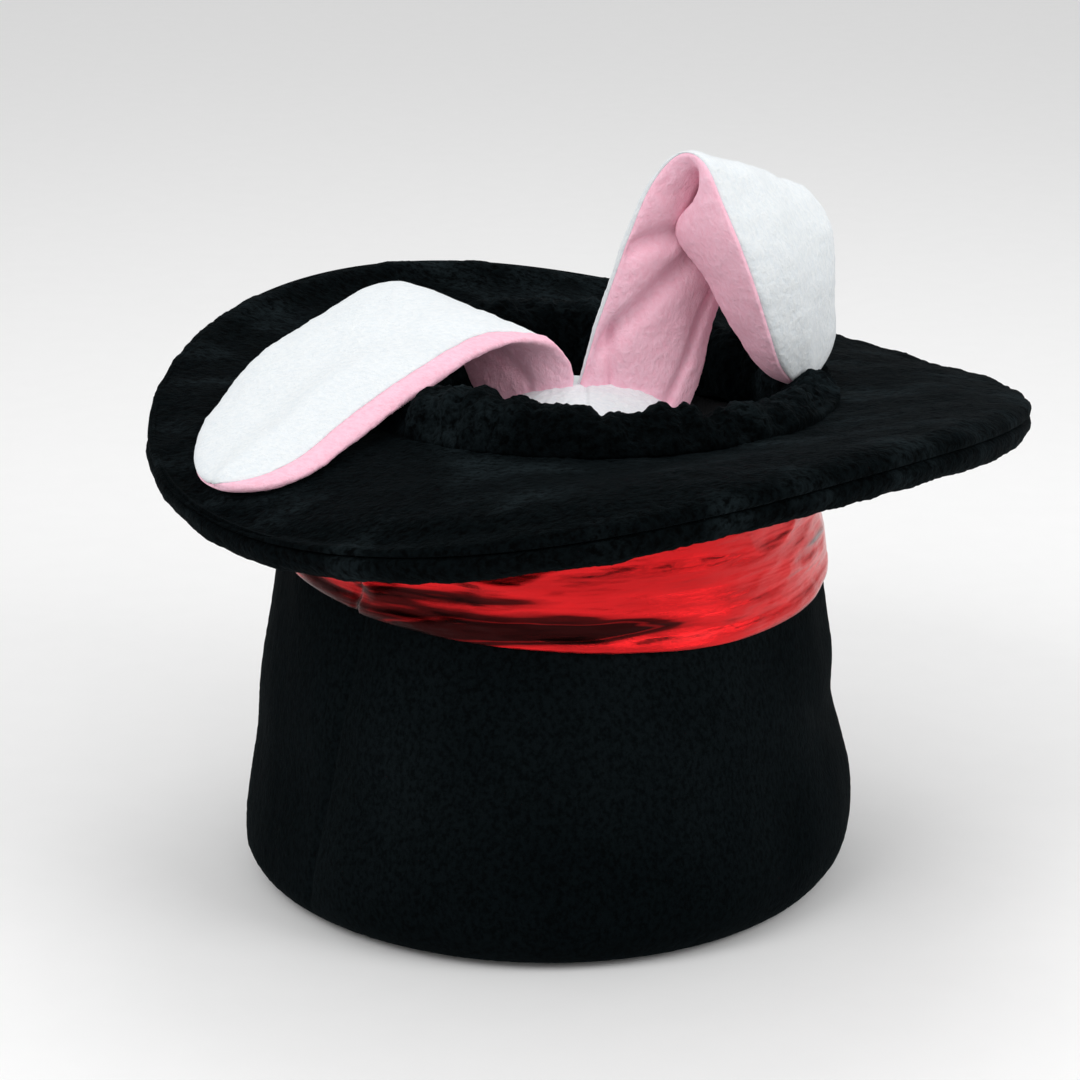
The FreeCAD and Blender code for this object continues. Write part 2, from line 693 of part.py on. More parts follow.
class EarFold:
    """Where the two flat halves of a folded ear lie."""

    def __init__(self, ear):
        self.lower = Vector(ear["lower"]).normalize()
        self.upper = Vector(ear["upper"]).normalize()
        spread = self.lower.sub(self.upper).normalize()
        hint = Vector(ear["fold_hint"])
        self.line = hint.sub(spread * hint.dot(spread)).normalize()
        self.root = ear["root"]
        self.pivot = self.root.add(self.lower * ear["fold_reach"])
        self.skew = math.degrees(math.asin(self.line.dot(self.lower)))

    def frame(self, along, start):
        """Cloth frame: x across the ear, y along it, z out of its pink face."""
        across = self.line.sub(along * self.line.dot(along)).normalize()
        return Placement(start, Rotation(across, along, across.cross(along)))

    def lower_frame(self):
        return self.frame(self.lower, self.root)

    def upper_frame(self, reach):
        return self.frame(self.upper, self.pivot.sub(self.upper * reach))


def ear_outline(doc, label, start, thickness, inset):
    """The whole ear as one flat slab; start is the height of its lower face."""
    body, sketch = new_sketch(doc, label, "XY_Plane")
    half = f"Sizes.ear_half_width - {inset}"
    root = f"Sizes.ear_root_half - {inset}"
    shoulder = "Sizes.ear_length - Sizes.ear_half_width"
    draw_outline(sketch, [
        (f"-({root})", "-12"),
        (root, "-12"),
        (root, "0"),
        (half, "Sizes.ear_flare"),
        (half, shoulder, half, False),
        ("0", f"{shoulder} + {half}", half, False),
        (f"-({half})", shoulder),
        (f"-({half})", "Sizes.ear_flare"),
        (f"-({root})", "0"),
    ])
    bind(sketch, AttachmentOffset__Base__z=start)
    pad = body.newObject("PartDesign::Pad", f"{label}_pad")
    pad.Profile = sketch
    bind(pad, Length=thickness)
    return body


def trim_box(doc, label, ear, fold, tip_side):
    """Everything beyond the fold on one side, in the flat ear's frame."""
    item = doc.addObject("Part::Box", label)
    item.Length = FAR
    item.Width = FAR
    item.Height = FAR
    turn = Rotation(Vector(0, 0, 1), fold.skew)
    start = ear["slab_start"] if tip_side else -ear["slab_start"] - FAR
    shift = turn.multVec(Vector(-FAR / 2, start, -FAR / 2))
    item.Placement = Placement(Vector(0, ear["fold_reach"], 0).add(shift), turn)
    return item


def build_ear(doc, name, ear):
    """Back, wadding and front of both halves of one ear, and the roll on its fold."""
    sheet = doc.Sizes
    fold = EarFold(ear)
    gap = "Sizes.layer_gap"
    total = f"(Sizes.ear_back_cloth + Sizes.ear_wadding + Sizes.ear_front_cloth + 2 * {gap})"
    layers = [
        ("back", f"-{total} / 2", "Sizes.ear_back_cloth", "0"),
        ("wadding", f"-{total} / 2 + Sizes.ear_back_cloth + {gap}", "Sizes.ear_wadding", "Sizes.ear_inset"),
        ("front", f"{total} / 2 - Sizes.ear_front_cloth", "Sizes.ear_front_cloth", "0"),
    ]
    lower_frame = fold.lower_frame()
    upper_frame = fold.upper_frame(ear["fold_reach"])
    head = doc.addObject("Part::Sphere", f"{name}_head_room")
    bind(head, Radius="Sizes.head_radius + Sizes.ear_head_gap")
    centre = Vector(size(sheet, "rabbit_shift"), size(sheet, "rabbit_back"), size(sheet, "head_level"))
    head.Placement.Base = lower_frame.inverse().multVec(centre)
    pieces = []
    for layer, start, thickness, inset in layers:
        whole = ear_outline(doc, f"{name}_{layer}_whole", start, thickness, inset)
        low_box = trim_box(doc, f"{name}_{layer}_low_box", ear, fold, False)
        low = boolean(doc, "Common", f"{name}_{layer}_low", whole, low_box)
        base = boolean(doc, "Cut", f"{name}_base_{layer}", low, head)
        base.Placement = lower_frame
        high_box = trim_box(doc, f"{name}_{layer}_high_box", ear, fold, True)
        tip = boolean(doc, "Common", f"{name}_tip_{layer}", whole, high_box)
        tip.Placement = upper_frame
        pieces += [base, tip]
    roll = doc.addObject("Part::Cylinder", f"{name}_fold_roll")
    roll.Label = f"{name}_fold_roll"
    bind(roll, Height="2 * Sizes.ear_roll_half")
    roll.Radius = ear["roll_radius"]
    half = size(sheet, "ear_roll_half")
    roll.Placement = Placement(fold.pivot.sub(fold.line * half), Rotation(Vector(0, 0, 1), fold.line))
    pieces.append(roll)
    return pieces


# ---------------------------------------------------------------- whole object


def check(doc, pieces):
    """Stop if any object failed, or if a sub-part's shape isn't one sound solid."""
    for item in doc.Objects:
        if "Invalid" in item.State or "Error" in item.State:
            raise RuntimeError(f"{item.Label} failed: {item.State}")
    for piece in pieces:
        if piece.Shape.isNull() or not piece.Shape.isValid() or not piece.Shape.Solids:
            raise RuntimeError(f"{piece.Label} has no sound shape")


def main():
    doc = FreeCAD.newDocument("RabbitHat")
    make_sheet(doc)
    pieces = build_crown(doc) + build_band(doc) + build_brim(doc) + build_collar(doc)
    pieces += build_head(doc) + build_torso(doc)
    pieces += build_arm(doc, "left_arm", -1) + build_arm(doc, "right_arm", 1)
    for name, ear in EARS.items():
        pieces += build_ear(doc, name, ear)
    doc.recompute()
    check(doc, pieces)
    os.makedirs("parts", exist_ok=True)
    for piece in pieces:
        piece.Shape.exportStep(os.path.join("parts", f"{piece.Label}.step"))
        box = piece.Shape.BoundBox
        print(f"{piece.Label:24s} solids {len(piece.Shape.Solids)} volume {piece.Shape.Volume:10.1f}"
              f"  z {box.ZMin:6.1f} {box.ZMax:6.1f}")



main()
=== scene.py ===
"""Plush top hat with a rabbit glove puppet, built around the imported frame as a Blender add-on script.

Every length in HatSizes and in the shape tables is in millimetres, and becomes metres in make_object().
"""

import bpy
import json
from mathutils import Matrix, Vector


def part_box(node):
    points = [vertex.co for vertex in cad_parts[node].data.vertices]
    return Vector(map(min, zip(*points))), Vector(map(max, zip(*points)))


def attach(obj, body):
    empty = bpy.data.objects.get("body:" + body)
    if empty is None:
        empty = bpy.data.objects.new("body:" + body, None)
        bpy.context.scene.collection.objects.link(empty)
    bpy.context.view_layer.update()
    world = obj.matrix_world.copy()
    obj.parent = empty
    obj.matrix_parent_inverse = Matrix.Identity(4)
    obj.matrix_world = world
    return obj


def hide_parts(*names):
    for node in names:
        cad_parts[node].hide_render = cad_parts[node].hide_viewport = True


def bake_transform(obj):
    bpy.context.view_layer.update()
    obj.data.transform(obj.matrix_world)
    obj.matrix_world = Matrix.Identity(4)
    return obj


bl_info = {
    "name": "Rabbit Hat",
    "version": (1, 0, 0),
    "blender": (4, 5, 0),
    "location": "View3D > Sidebar > Rabbit Hat",
    "description": "Builds the plush hat, the rabbit puppet and a plain studio round the packed frame",
    "category": "Add Mesh",
}

import bmesh
import bpy
import json
import math
import numpy as np
from bpy.props import FloatProperty, FloatVectorProperty, PointerProperty
from mathutils import Vector, noise

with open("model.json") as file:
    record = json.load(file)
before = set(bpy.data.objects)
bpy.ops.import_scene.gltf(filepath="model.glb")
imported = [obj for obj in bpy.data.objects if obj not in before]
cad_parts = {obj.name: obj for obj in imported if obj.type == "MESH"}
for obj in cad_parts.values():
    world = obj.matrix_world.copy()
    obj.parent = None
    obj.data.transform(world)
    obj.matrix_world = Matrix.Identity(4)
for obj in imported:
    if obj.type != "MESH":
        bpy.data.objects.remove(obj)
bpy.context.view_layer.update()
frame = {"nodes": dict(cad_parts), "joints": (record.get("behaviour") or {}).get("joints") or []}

MM = 0.001
TURN = 2 * math.pi


def cad_box(node):
    """Lowest and highest corner of a CAD node, in millimetres."""
    low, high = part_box(node)
    return np.array(low) / MM, np.array(high) / MM


BRIM_LOW, BRIM_HIGH = cad_box("brim_top_cover")
COLLAR_LOW, COLLAR_HIGH = cad_box("mouth_collar")
TORSO_LOW, TORSO_HIGH = cad_box("torso_sleeve")
SKIRT_LOW, SKIRT_HIGH = cad_box("sleeve_skirt")
JOINTS = {joint["name"]: joint for joint in frame["joints"]}


# ---------------------------------------------------------------- properties


def plain(name, default, description):
    """A size in millimetres."""
    return FloatProperty(name=name, description=description, default=default)


def colour(name, default, description):
    return FloatVectorProperty(
        name=name, description=description, default=default, size=3, min=0.0, max=1.0, subtype="COLOR",
    )


class HatSizes(bpy.types.PropertyGroup):
    """Sizes of the hat, in millimetres."""

    opening_radius: plain("Hand opening", 42.2, "Radius of the hand opening in the tip")
    brim_centre: plain("Brim centre", (BRIM_HIGH[0] + BRIM_LOW[0]) / 2, "Brim's centre along X")
    brim_length: plain("Brim half length", (BRIM_HIGH[0] - BRIM_LOW[0]) / 2, "Half length of the brim")
    brim_width: plain("Brim half width", (BRIM_HIGH[1] - BRIM_LOW[1]) / 2, "Half width of the brim")
    brim_level: plain("Brim level", 161.0, "Mean height of the rim's seam")
    brim_tilt: plain("Brim tilt", 9.0, "Rise of the rim towards the back")
    brim_warp: plain("Brim warp", 12.0, "Curl of the rim at two sides")
    mouth_length: plain("Mouth half length", 70.0, "Half length of the brim's inner edge")
    mouth_width: plain("Mouth half width", 66.0, "Half width of the brim's inner edge")
    collar_centre: plain("Collar centre", (COLLAR_HIGH[0] + COLLAR_LOW[0]) / 2, "Collar's centre along X")
    collar_length: plain("Collar half length", 71.0, "Half length of the collar's ridge")
    collar_width: plain("Collar half width", 65.0, "Half width of the collar's ridge")
    band_level: plain("Band level", 113.5, "Height of the band's lower edge on the axis")


class PlushColours(bpy.types.PropertyGroup):
    """Colours of the cloths."""

    black: colour("Black plush", (0.0018, 0.0032, 0.0038), "Hat's plush")
    # Painted sheen: a lighter colour for the brushed patches of the black plush.
    black_sheen_patches: colour("Black nap", (0.0088, 0.0134, 0.0154), "Brushed patches of the hat's plush")
    red: colour("Red foil", (0.70, 0.014, 0.017), "Foil-coated band")
    white: colour("White plush", (0.815, 0.845, 0.86), "Rabbit's plush")
    pink: colour("Pink plush", (1.0, 0.59, 0.71), "Inside of the ears")
    lining: colour("Lining", (0.012, 0.012, 0.014), "Woven lining")


class StudioSettings(bpy.types.PropertyGroup):
    """Camera and light."""

    lens: FloatProperty(name="Lens", description="Focal length", default=99.0, unit="CAMERA")
    eye: FloatVectorProperty(
        name="Camera", description="Camera's place", default=(0.0, -0.95, 0.42),
        subtype="TRANSLATION", unit="LENGTH",
    )
    aim: FloatVectorProperty(
        name="Aim", description="Point the camera looks at", default=(-0.003, 0.0, 0.112),
        subtype="TRANSLATION", unit="LENGTH",
    )
    key_power: FloatProperty(
        name="Key light", description="Power of the key light", default=6.65, subtype="POWER"
    )
    sky: FloatProperty(name="Sky", description="Strength of the surrounding light", default=0.70, min=0.0)


# ---------------------------------------------------------------- mesh helpers


def ramp(low, high, value):
    """0 below low, 1 above high, smooth between."""
    share = np.clip((np.asarray(value, float) - low) / (high - low), 0.0, 1.0)
    return share * share * (3 - 2 * share)


def bell(value, centre, width):
    """A smooth bump of height 1."""
    return np.exp(-(((np.asarray(value, float) - centre) / width) ** 2))


def turn_gap(angle, centre):
    """Signed smallest difference between two angles in radians."""
    return (np.asarray(angle, float) - centre + math.pi) % TURN - math.pi


def grain(points, scale, seed=0.0, stretch=(1.0, 1.0, 1.0)):
    """Smooth noise from -1 to 1 at points in millimetres; scale is the size of a lump."""
    flat = points.reshape(-1, 3) * np.array(stretch) / scale + seed
    values = [noise.noise(Vector(point)) for point in flat]
    return np.array(values).reshape(points.shape[:-1]) * 1.6


def ellipse_radius(angle, half_length, half_width):
    """Distance from an ellipse's centre to its edge at an angle."""
    return 1 / np.hypot(np.cos(angle) / half_length, np.sin(angle) / half_width)


def curve_points(points, count):
    """A smooth line of count points through a few points, evenly spread along its length."""
    places = np.array(points, float)
    first = 2 * places[0] - places[1]
    last = 2 * places[-1] - places[-2]
    spots = np.vstack([first, places, last])
    fine = []
    for index in range(len(places) - 1):
        before, start, end, after = spots[index:index + 4]
        for share in np.linspace(0, 1, 24, endpoint=False):
            fine.append(0.5 * (
                2 * start
                + (end - before) * share
                + (2 * before - 5 * start + 4 * end - after) * share ** 2
                + (3 * start - before - 3 * end + after) * share ** 3
            ))
    fine.append(places[-1])
    fine = np.array(fine)
    run = np.concatenate([[0], np.cumsum(np.linalg.norm(np.diff(fine, axis=0), axis=1))])
    wanted = np.linspace(0, run[-1], count)
    return np.stack([np.interp(wanted, run, fine[:, axis]) for axis in range(fine.shape[1])], axis=1)


def grid_normals(points, wrap):
    """Unit normals of a grid of points; wrap says which way the grid closes on itself."""
    def slope(axis):
        if wrap[axis]:
            return np.roll(points, -1, axis) - np.roll(points, 1, axis)
        return np.gradient(points, axis=axis)
    normals = np.cross(slope(0), slope(1))
    return normals / np.maximum(np.linalg.norm(normals, axis=2, keepdims=True), 1e-9)


def grid_faces(rows, columns, wrap, start=0, flip=False):
    """Quads of a grid whose points are numbered row by row."""
    faces = []
    for row in range(rows if wrap[0] else rows - 1):
        for column in range(columns if wrap[1] else columns - 1):
            next_row = (row + 1) % rows
            next_column = (column + 1) % columns
            quad = [
                start + row * columns + column,
                start + row * columns + next_column,
                start + next_row * columns + next_column,
                start + next_row * columns + column,
            ]
            faces.append(quad[::-1] if flip else quad)
    return faces


def make_object(name, points, faces, material):
    """A smooth-shaded mesh object from points in millimetres, with its faces turned outwards."""
    mesh = bpy.data.meshes.new(name)
    mesh.from_pydata((np.asarray(points).reshape(-1, 3) * MM).tolist(), [], faces)
    work = bmesh.new()
    work.from_mesh(mesh)
    bmesh.ops.recalc_face_normals(work, faces=work.faces)
    work.to_mesh(mesh)
    work.free()
    mesh.polygons.foreach_set("use_smooth", [True] * len(mesh.polygons))
    mesh.update()
    item = bpy.data.objects.new(name, mesh)
    bpy.context.scene.collection.objects.link(item)
    mesh.materials.append(material)
    return item


def slab(name, outer, inner, wrap, material):
    """A closed skin between two grids; wrap says which way the grids close on themselves."""
    rows, columns = outer.shape[:2]
    count = rows * columns
    faces = grid_faces(rows, columns, wrap)
    faces += grid_faces(rows, columns, wrap, count, True)
    borders = []
    if not wrap[1]:
        steps = rows if wrap[0] else rows - 1
        for column in (0, columns - 1):
            borders += [
                (row * columns + column, (row + 1) % rows * columns + column) for row in range(steps)
            ]
    if not wrap[0]:
        steps = columns if wrap[1] else columns - 1
        for row in (0, rows - 1):
            borders += [
                (row * columns + column, row * columns + (column + 1) % columns) for column in range(steps)
            ]
    faces += [[one, other, other + count, one + count] for one, other in borders]
    points = np.concatenate([np.asarray(outer).reshape(-1, 3), np.asarray(inner).reshape(-1, 3)])
    return make_object(name, points, faces, material)


def loop_solid(name, points, material):
    """A closed ring-shaped solid: both ways of the grid close on themselves."""
    return make_object(name, points, grid_faces(*points.shape[:2], (True, True)), material)


def capped(name, points, material):
    """A closed tube: rings of points in rows, with both ends capped."""
    rows, columns = points.shape[:2]
    faces = grid_faces(rows, columns, (False, True))
    faces.append(list(range(columns)))
    faces.append([(rows - 1) * columns + column for column in range(columns)])
    return make_object(name, points, faces, material)


def dress_node(node, material):
    """Gives a CAD node that stays a better material."""
    item = frame["nodes"][node]
    item.data.materials.clear()
    item.data.materials.append(material)


def finish_piece(item, body, nodes):
    """Ride on a body and stand for CAD nodes, which are hidden."""
    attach(item, body)
    if nodes:
        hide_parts(*nodes)
    return item


# ---------------------------------------------------------------- shader groups and materials


def new_group(name, inputs, outputs):
    """A shader node group with named sockets."""
    group = bpy.data.node_groups.new(name, "ShaderNodeTree")
    for label, default in inputs:
        socket = group.interface.new_socket(label, in_out="INPUT", socket_type="NodeSocketFloat")
        socket.default_value = default
    for label in outputs:
        group.interface.new_socket(label, in_out="OUTPUT", socket_type="NodeSocketFloat")
    start = group.nodes.new("NodeGroupInput")
    end = group.nodes.new("NodeGroupOutput")
    return group, start, end


def link(tree, source, target):
    tree.links.new(source, target)


def feed(tree, value, socket):
    """Gives a socket a number or a link from another socket."""
    if isinstance(value, (int, float)):
        socket.default_value = value
    else:
        link(tree, value, socket)


def math_node(tree, operation, first, second):
    """A math node whose inputs are sockets or numbers."""
    node = tree.nodes.new("ShaderNodeMath")
    node.operation = operation
    for index, value in enumerate((first, second)):
        feed(tree, value, node.inputs[index])
    return node.outputs[0]


def noise_node(tree, vector, scale, detail=4.0, roughness=0.55):
    """A noise texture; scale is a number or a socket, in lumps per metre."""
    node = tree.nodes.new("ShaderNodeTexNoise")
    node.inputs["Detail"].default_value = detail
    node.inputs["Roughness"].default_value = roughness
    link(tree, vector, node.inputs["Vector"])
    feed(tree, scale, node.inputs["Scale"])
    return node.outputs["Fac"]


def scaled_vector(tree, vector, scale):
    """Object coordinates stretched along the three axes."""
    node = tree.nodes.new("ShaderNodeMapping")
    node.inputs["Scale"].default_value = scale
    link(tree, vector, node.inputs["Vector"])
    return node.outputs["Vector"]


def pile_group():
    """Short pile: fine fibres, clumps and brushed patches."""
    group = bpy.data.node_groups.get("Plush pile")
    if group:
        return group
    group, start, end = new_group(
        "Plush pile",
        (("Fibre Scale", 900.0), ("Clump Scale", 260.0), ("Nap Scale", 22.0), ("Fibre Share", 0.5)),
        ("Height", "Fibre", "Nap"),
    )
    place = group.nodes.new("ShaderNodeTexCoord").outputs["Object"]
    combed = scaled_vector(group, place, (0.50, 1.0, 0.42))
    group.nodes["Mapping"].inputs["Rotation"].default_value = (0.0, 0.3, 0.6)
    fibre = noise_node(group, combed, start.outputs["Fibre Scale"], 3.0, 0.6)
    clump = noise_node(group, combed, start.outputs["Clump Scale"], 3.0, 0.5)
    nap = noise_node(group, combed, start.outputs["Nap Scale"], 3.0, 0.5)
    fine = math_node(group, "MULTIPLY", fibre, start.outputs["Fibre Share"])
    link(group, math_node(group, "ADD", fine, clump), end.inputs["Height"])
    link(group, fibre, end.inputs["Fibre"])
    link(group, nap, end.inputs["Nap"])
    return group


def weave_group():
    """Crossed threads, for the lining, the elastic and the knit behind the foil."""
    group = bpy.data.node_groups.get("Thread weave")
    if group:
        return group
    group, start, end = new_group("Thread weave", (("Thread Scale", 700.0), ("Wander", 2.0)), ("Height",))
    place = group.nodes.new("ShaderNodeTexCoord").outputs["Object"]
    bands = []
    for direction in ("X", "Z"):
        wave = group.nodes.new("ShaderNodeTexWave")
        wave.bands_direction = direction
        link(group, place, wave.inputs["Vector"])
        link(group, start.outputs["Thread Scale"], wave.inputs["Scale"])
        link(group, start.outputs["Wander"], wave.inputs["Distortion"])
        bands.append(wave.outputs["Fac"])
    link(group, math_node(group, "MAXIMUM", bands[0], bands[1]), end.inputs["Height"])
    return group


def new_material(name):
    """A material with an empty Principled shader; gives the material, its tree and the shader."""
    material = bpy.data.materials.new(name)
    material.use_nodes = True
    tree = material.node_tree
    return material, tree, tree.nodes["Principled BSDF"]


def place_group(tree, group, **values):
    """Puts a group in a material; an input's name has underscores for its spaces."""
    node = tree.nodes.new("ShaderNodeGroup")
    node.node_tree = group
    for label, value in values.items():
        node.inputs[label.replace("_", " ")].default_value = value
    return node


def colour_ramp(tree, factor, stops):
    """Colours against a factor, from (position, colour) pairs."""
    node = tree.nodes.new("ShaderNodeValToRGB")
    ramp_stops = node.color_ramp.elements
    while len(ramp_stops) < len(stops):
        ramp_stops.new(0.5)
    for stop, (position, stop_colour) in zip(ramp_stops, stops):
        stop.position = position
        stop.color = (*stop_colour, 1.0)
    link(tree, factor, node.inputs["Fac"])
    return node.outputs["Color"]


def number_range(tree, value, low, high):
    node = tree.nodes.new("ShaderNodeMapRange")
    node.inputs["To Min"].default_value = low
    node.inputs["To Max"].default_value = high
    link(tree, value, node.inputs["Value"])
    return node.outputs["Result"]


def add_bump(tree, shader, height, distance):
    node = tree.nodes.new("ShaderNodeBump")
    node.inputs["Distance"].default_value = distance
    link(tree, height, node.inputs["Height"])
    link(tree, node.outputs["Normal"], shader.inputs["Normal"])


def shade(base, factor):
    """A colour made darker or lighter."""
    return tuple(min(1.0, channel * factor) for channel in base)


def cloth_colour(name):
    return tuple(getattr(bpy.context.scene.plush_colours, name))


def plush_material(name, base, nap, pile_shade, sheen, tint, pile_height, scales, gloss=0.08):
    """Short pile plush: painted shade deep in the pile, body colour, lighter brushed patches painted as
    sheen, soft sheen.
    """
    material = bpy.data.materials.get(name)
    if material:
        return material
    material, tree, shader = new_material(name)
    fibre, clump, patch = scales
    pile = place_group(
        tree, pile_group(), Fibre_Scale=fibre, Clump_Scale=clump, Nap_Scale=patch, Fibre_Share=0.6,
    )
    # Painted sheen: brushed patches of the pile get the lighter nap colour, standing for light caught by the
    # pile.
    body = colour_ramp(tree, pile.outputs["Nap"], ((0.34, base), (0.5, base), (0.68, nap)))
    # Painted shade: the colour is multiplied darker where the pile is low, standing for shade between the
    # fibres.
    depth = colour_ramp(tree, pile.outputs["Height"], ((0.62, pile_shade), (0.92, (1.0, 1.0, 1.0))))
    mix = tree.nodes.new("ShaderNodeMix")
    mix.data_type = "RGBA"
    mix.blend_type = "MULTIPLY"
    mix.inputs["Factor"].default_value = 1.0
    link(tree, body, mix.inputs["A"])
    link(tree, depth, mix.inputs["B"])
    link(tree, mix.outputs["Result"], shader.inputs["Base Color"])
    link(tree, number_range(tree, pile.outputs["Fibre"], 0.72, 1.0), shader.inputs["Roughness"])
    shader.inputs["Specular IOR Level"].default_value = gloss
    shader.inputs["Sheen Weight"].default_value = sheen
    shader.inputs["Sheen Roughness"].default_value = 0.38
    shader.inputs["Sheen Tint"].default_value = (*tint, 1.0)
    add_bump(tree, shader, pile.outputs["Height"], pile_height)
    return material


def velvet_material():
    """Short black velvet of the crown."""
    return plush_material(
        "short black velvet", cloth_colour("black"), shade(cloth_colour("black_sheen_patches"), 0.5),
        pile_shade=(0.4, 0.4, 0.4), sheen=0.012, tint=(0.45, 0.70, 0.80), pile_height=0.0003,
        scales=(2300.0, 1100.0, 12.0), gloss=0.012,
    )


def fur_material():
    """Black plush of the brim and the collar."""
    return plush_material(
        "long black plush", cloth_colour("black"), cloth_colour("black_sheen_patches"),
        pile_shade=(0.12, 0.12, 0.12), sheen=0.016, tint=(0.45, 0.66, 0.76), pile_height=0.0008,
        scales=(1900.0, 800.0, 60.0), gloss=0.016,
    )


def white_material():
    """White plush of the rabbit."""
    return plush_material(
        "white plush", cloth_colour("white"), shade(cloth_colour("white"), 1.03),
        pile_shade=(0.93, 0.95, 0.97), sheen=0.20, tint=(1.0, 1.0, 1.0), pile_height=0.00045,
        scales=(2300.0, 950.0, 30.0),
    )


def pink_material():
    """Pink plush of the ears and the paws."""
    return plush_material(
        "pink plush", cloth_colour("pink"), shade(cloth_colour("pink"), 1.05),
        pile_shade=(0.97, 0.88, 0.90), sheen=0.30, tint=(1.0, 0.74, 0.82), pile_height=0.00045,
        scales=(2300.0, 950.0, 40.0),
    )


# A long strip of painted dark reflection low on the band's front, ending at the join.
PAINTED_STRIP_LEVEL = 0.0105
PAINTED_STRIP_HALF = 0.0072
PAINTED_STRIP_END = 1.35
BAND_JOIN_X = -0.056


def away_from_painted_strip(tree, place):
    """How far a point of the band is from a long strip of painted dark reflection low on its front, rising
    to a fixed cap.
    """
    apart = tree.nodes.new("ShaderNodeSeparateXYZ")
    link(tree, place, apart.inputs["Vector"])
    x, y, z = (apart.outputs[axis] for axis in "XYZ")
    strip_level = float(cad_box("hat_band")[0][2]) * MM + PAINTED_STRIP_LEVEL
    level = math_node(tree, "ABSOLUTE", math_node(tree, "SUBTRACT", z, strip_level), 0.0)
    beside = math_node(tree, "MULTIPLY", level, 1 / PAINTED_STRIP_HALF)
    past_end = math_node(tree, "MAXIMUM", math_node(tree, "MULTIPLY", x, 16.0), -0.1)
    behind = math_node(tree, "MAXIMUM", math_node(tree, "MULTIPLY", y, 40.0), 0.0)
    past_join = math_node(tree, "MULTIPLY", math_node(tree, "ADD", x, -BAND_JOIN_X), -40.0)
    past_end = math_node(tree, "ADD", past_end, math_node(tree, "MAXIMUM", past_join, 0.0))
    away = math_node(tree, "ADD", math_node(tree, "ADD", beside, past_end), behind)
    return math_node(tree, "MINIMUM", away, PAINTED_STRIP_END)


def foil_material():
    """Foil-coated knit: crinkled red metal whose colour carries painted dark reflections in its creases and
    along a strip low on its front.
    """
    material = bpy.data.materials.get("red foil knit")
    if material:
        return material
    base = cloth_colour("red")
    material, tree, shader = new_material("red foil knit")
    place = tree.nodes.new("ShaderNodeTexCoord").outputs["Object"]
    creases = noise_node(tree, scaled_vector(tree, place, (1.0, 1.0, 11.0)), 11.0, 3.0, 0.45)
    away = math_node(tree, "MULTIPLY", away_from_painted_strip(tree, place), 0.21)
    light = math_node(tree, "ADD", math_node(tree, "ADD", creases, away), -0.155)
    # Painted reflections: the ramp turns the crease streaks and the front strip from red to nearly black.
    painted_reflection = colour_ramp(tree, light, (
        (0.345, shade(base, 0.03)), (0.362, shade(base, 0.30)), (0.385, shade(base, 0.04)),
        (0.440, shade(base, 0.10)), (0.475, shade(base, 0.62)), (0.56, base), (0.70, shade(base, 0.80)),
    ))
    dents = noise_node(tree, scaled_vector(tree, place, (1.0, 1.0, 3.0)), 70.0, 2.0, 0.4)
    weave = place_group(tree, weave_group(), Thread_Scale=900.0, Wander=3.0)
    link(tree, painted_reflection, shader.inputs["Base Color"])
    shader.inputs["Metallic"].default_value = 0.97
    link(tree, number_range(tree, dents, 0.13, 0.25), shader.inputs["Roughness"])
    shader.inputs["Coat Roughness"].default_value = 0.30
    shader.inputs["Coat Weight"].default_value = 0.08
    height = math_node(tree, "ADD", creases, math_node(tree, "MULTIPLY", dents, 0.3))
    height = math_node(tree, "ADD", height, math_node(tree, "MULTIPLY", weave.outputs["Height"], 0.012))
    add_bump(tree, shader, height, 0.0035)
    return material


def woven_material(name, dark, light, roughness, thread_scale, depth):
    """Plain woven or braided cloth."""
    material = bpy.data.materials.get(name)
    if material:
        return material
    material, tree, shader = new_material(name)
    weave = place_group(tree, weave_group(), Thread_Scale=thread_scale, Wander=1.5)
    pile = place_group(tree, pile_group(), Fibre_Scale=1200.0, Clump_Scale=300.0, Nap_Scale=20.0)
    share = math_node(tree, "MULTIPLY", weave.outputs["Height"], pile.outputs["Nap"])
    link(tree, colour_ramp(tree, share, ((0.15, dark), (0.6, light))), shader.inputs["Base Color"])
    polish = number_range(tree, pile.outputs["Fibre"], roughness - 0.12, roughness)
    link(tree, polish, shader.inputs["Roughness"])
    add_bump(tree, shader, weave.outputs["Height"], depth)
    return material


def lining_material():
    base = cloth_colour("lining")
    return woven_material("black woven lining", shade(base, 0.5), shade(base, 1.6), 0.75, 600.0, 0.0002)


def cuff_material():
    base = cloth_colour("lining")
    return woven_material("black rib knit", shade(base, 0.6), shade(base, 2.0), 0.9, 330.0, 0.0004)


def elastic_material():
    return woven_material("braided elastic", (0.45, 0.45, 0.43), (0.86, 0.86, 0.83), 0.8, 520.0, 0.0004)


def filling_material(name, dark, light, cell_scale, depth):
    """Loose fibre filling or open-cell foam."""
    material = bpy.data.materials.get(name)
    if material:
        return material
    material, tree, shader = new_material(name)
    place = tree.nodes.new("ShaderNodeTexCoord").outputs["Object"]
    cells = tree.nodes.new("ShaderNodeTexVoronoi")
    cells.inputs["Scale"].default_value = cell_scale
    link(tree, place, cells.inputs["Vector"])
    lumps = noise_node(tree, place, cell_scale * 0.2, 5.0, 0.6)
    height = math_node(tree, "MULTIPLY", cells.outputs["Distance"], lumps)
    link(tree, colour_ramp(tree, height, ((0.05, dark), (0.4, light))), shader.inputs["Base Color"])
    link(tree, number_range(tree, lumps, 0.8, 1.0), shader.inputs["Roughness"])
    add_bump(tree, shader, height, depth)
    return material


def foam_material():
    """Foam behind the plush."""
    return filling_material("open-cell foam", (0.52, 0.48, 0.34), (0.84, 0.80, 0.66), 900.0, 0.0006)


def stuffing_material():
    """Loose stuffing and ear wadding."""
    return filling_material("polyester stuffing", (0.70, 0.70, 0.69), (0.92, 0.92, 0.91), 500.0, 0.0012)


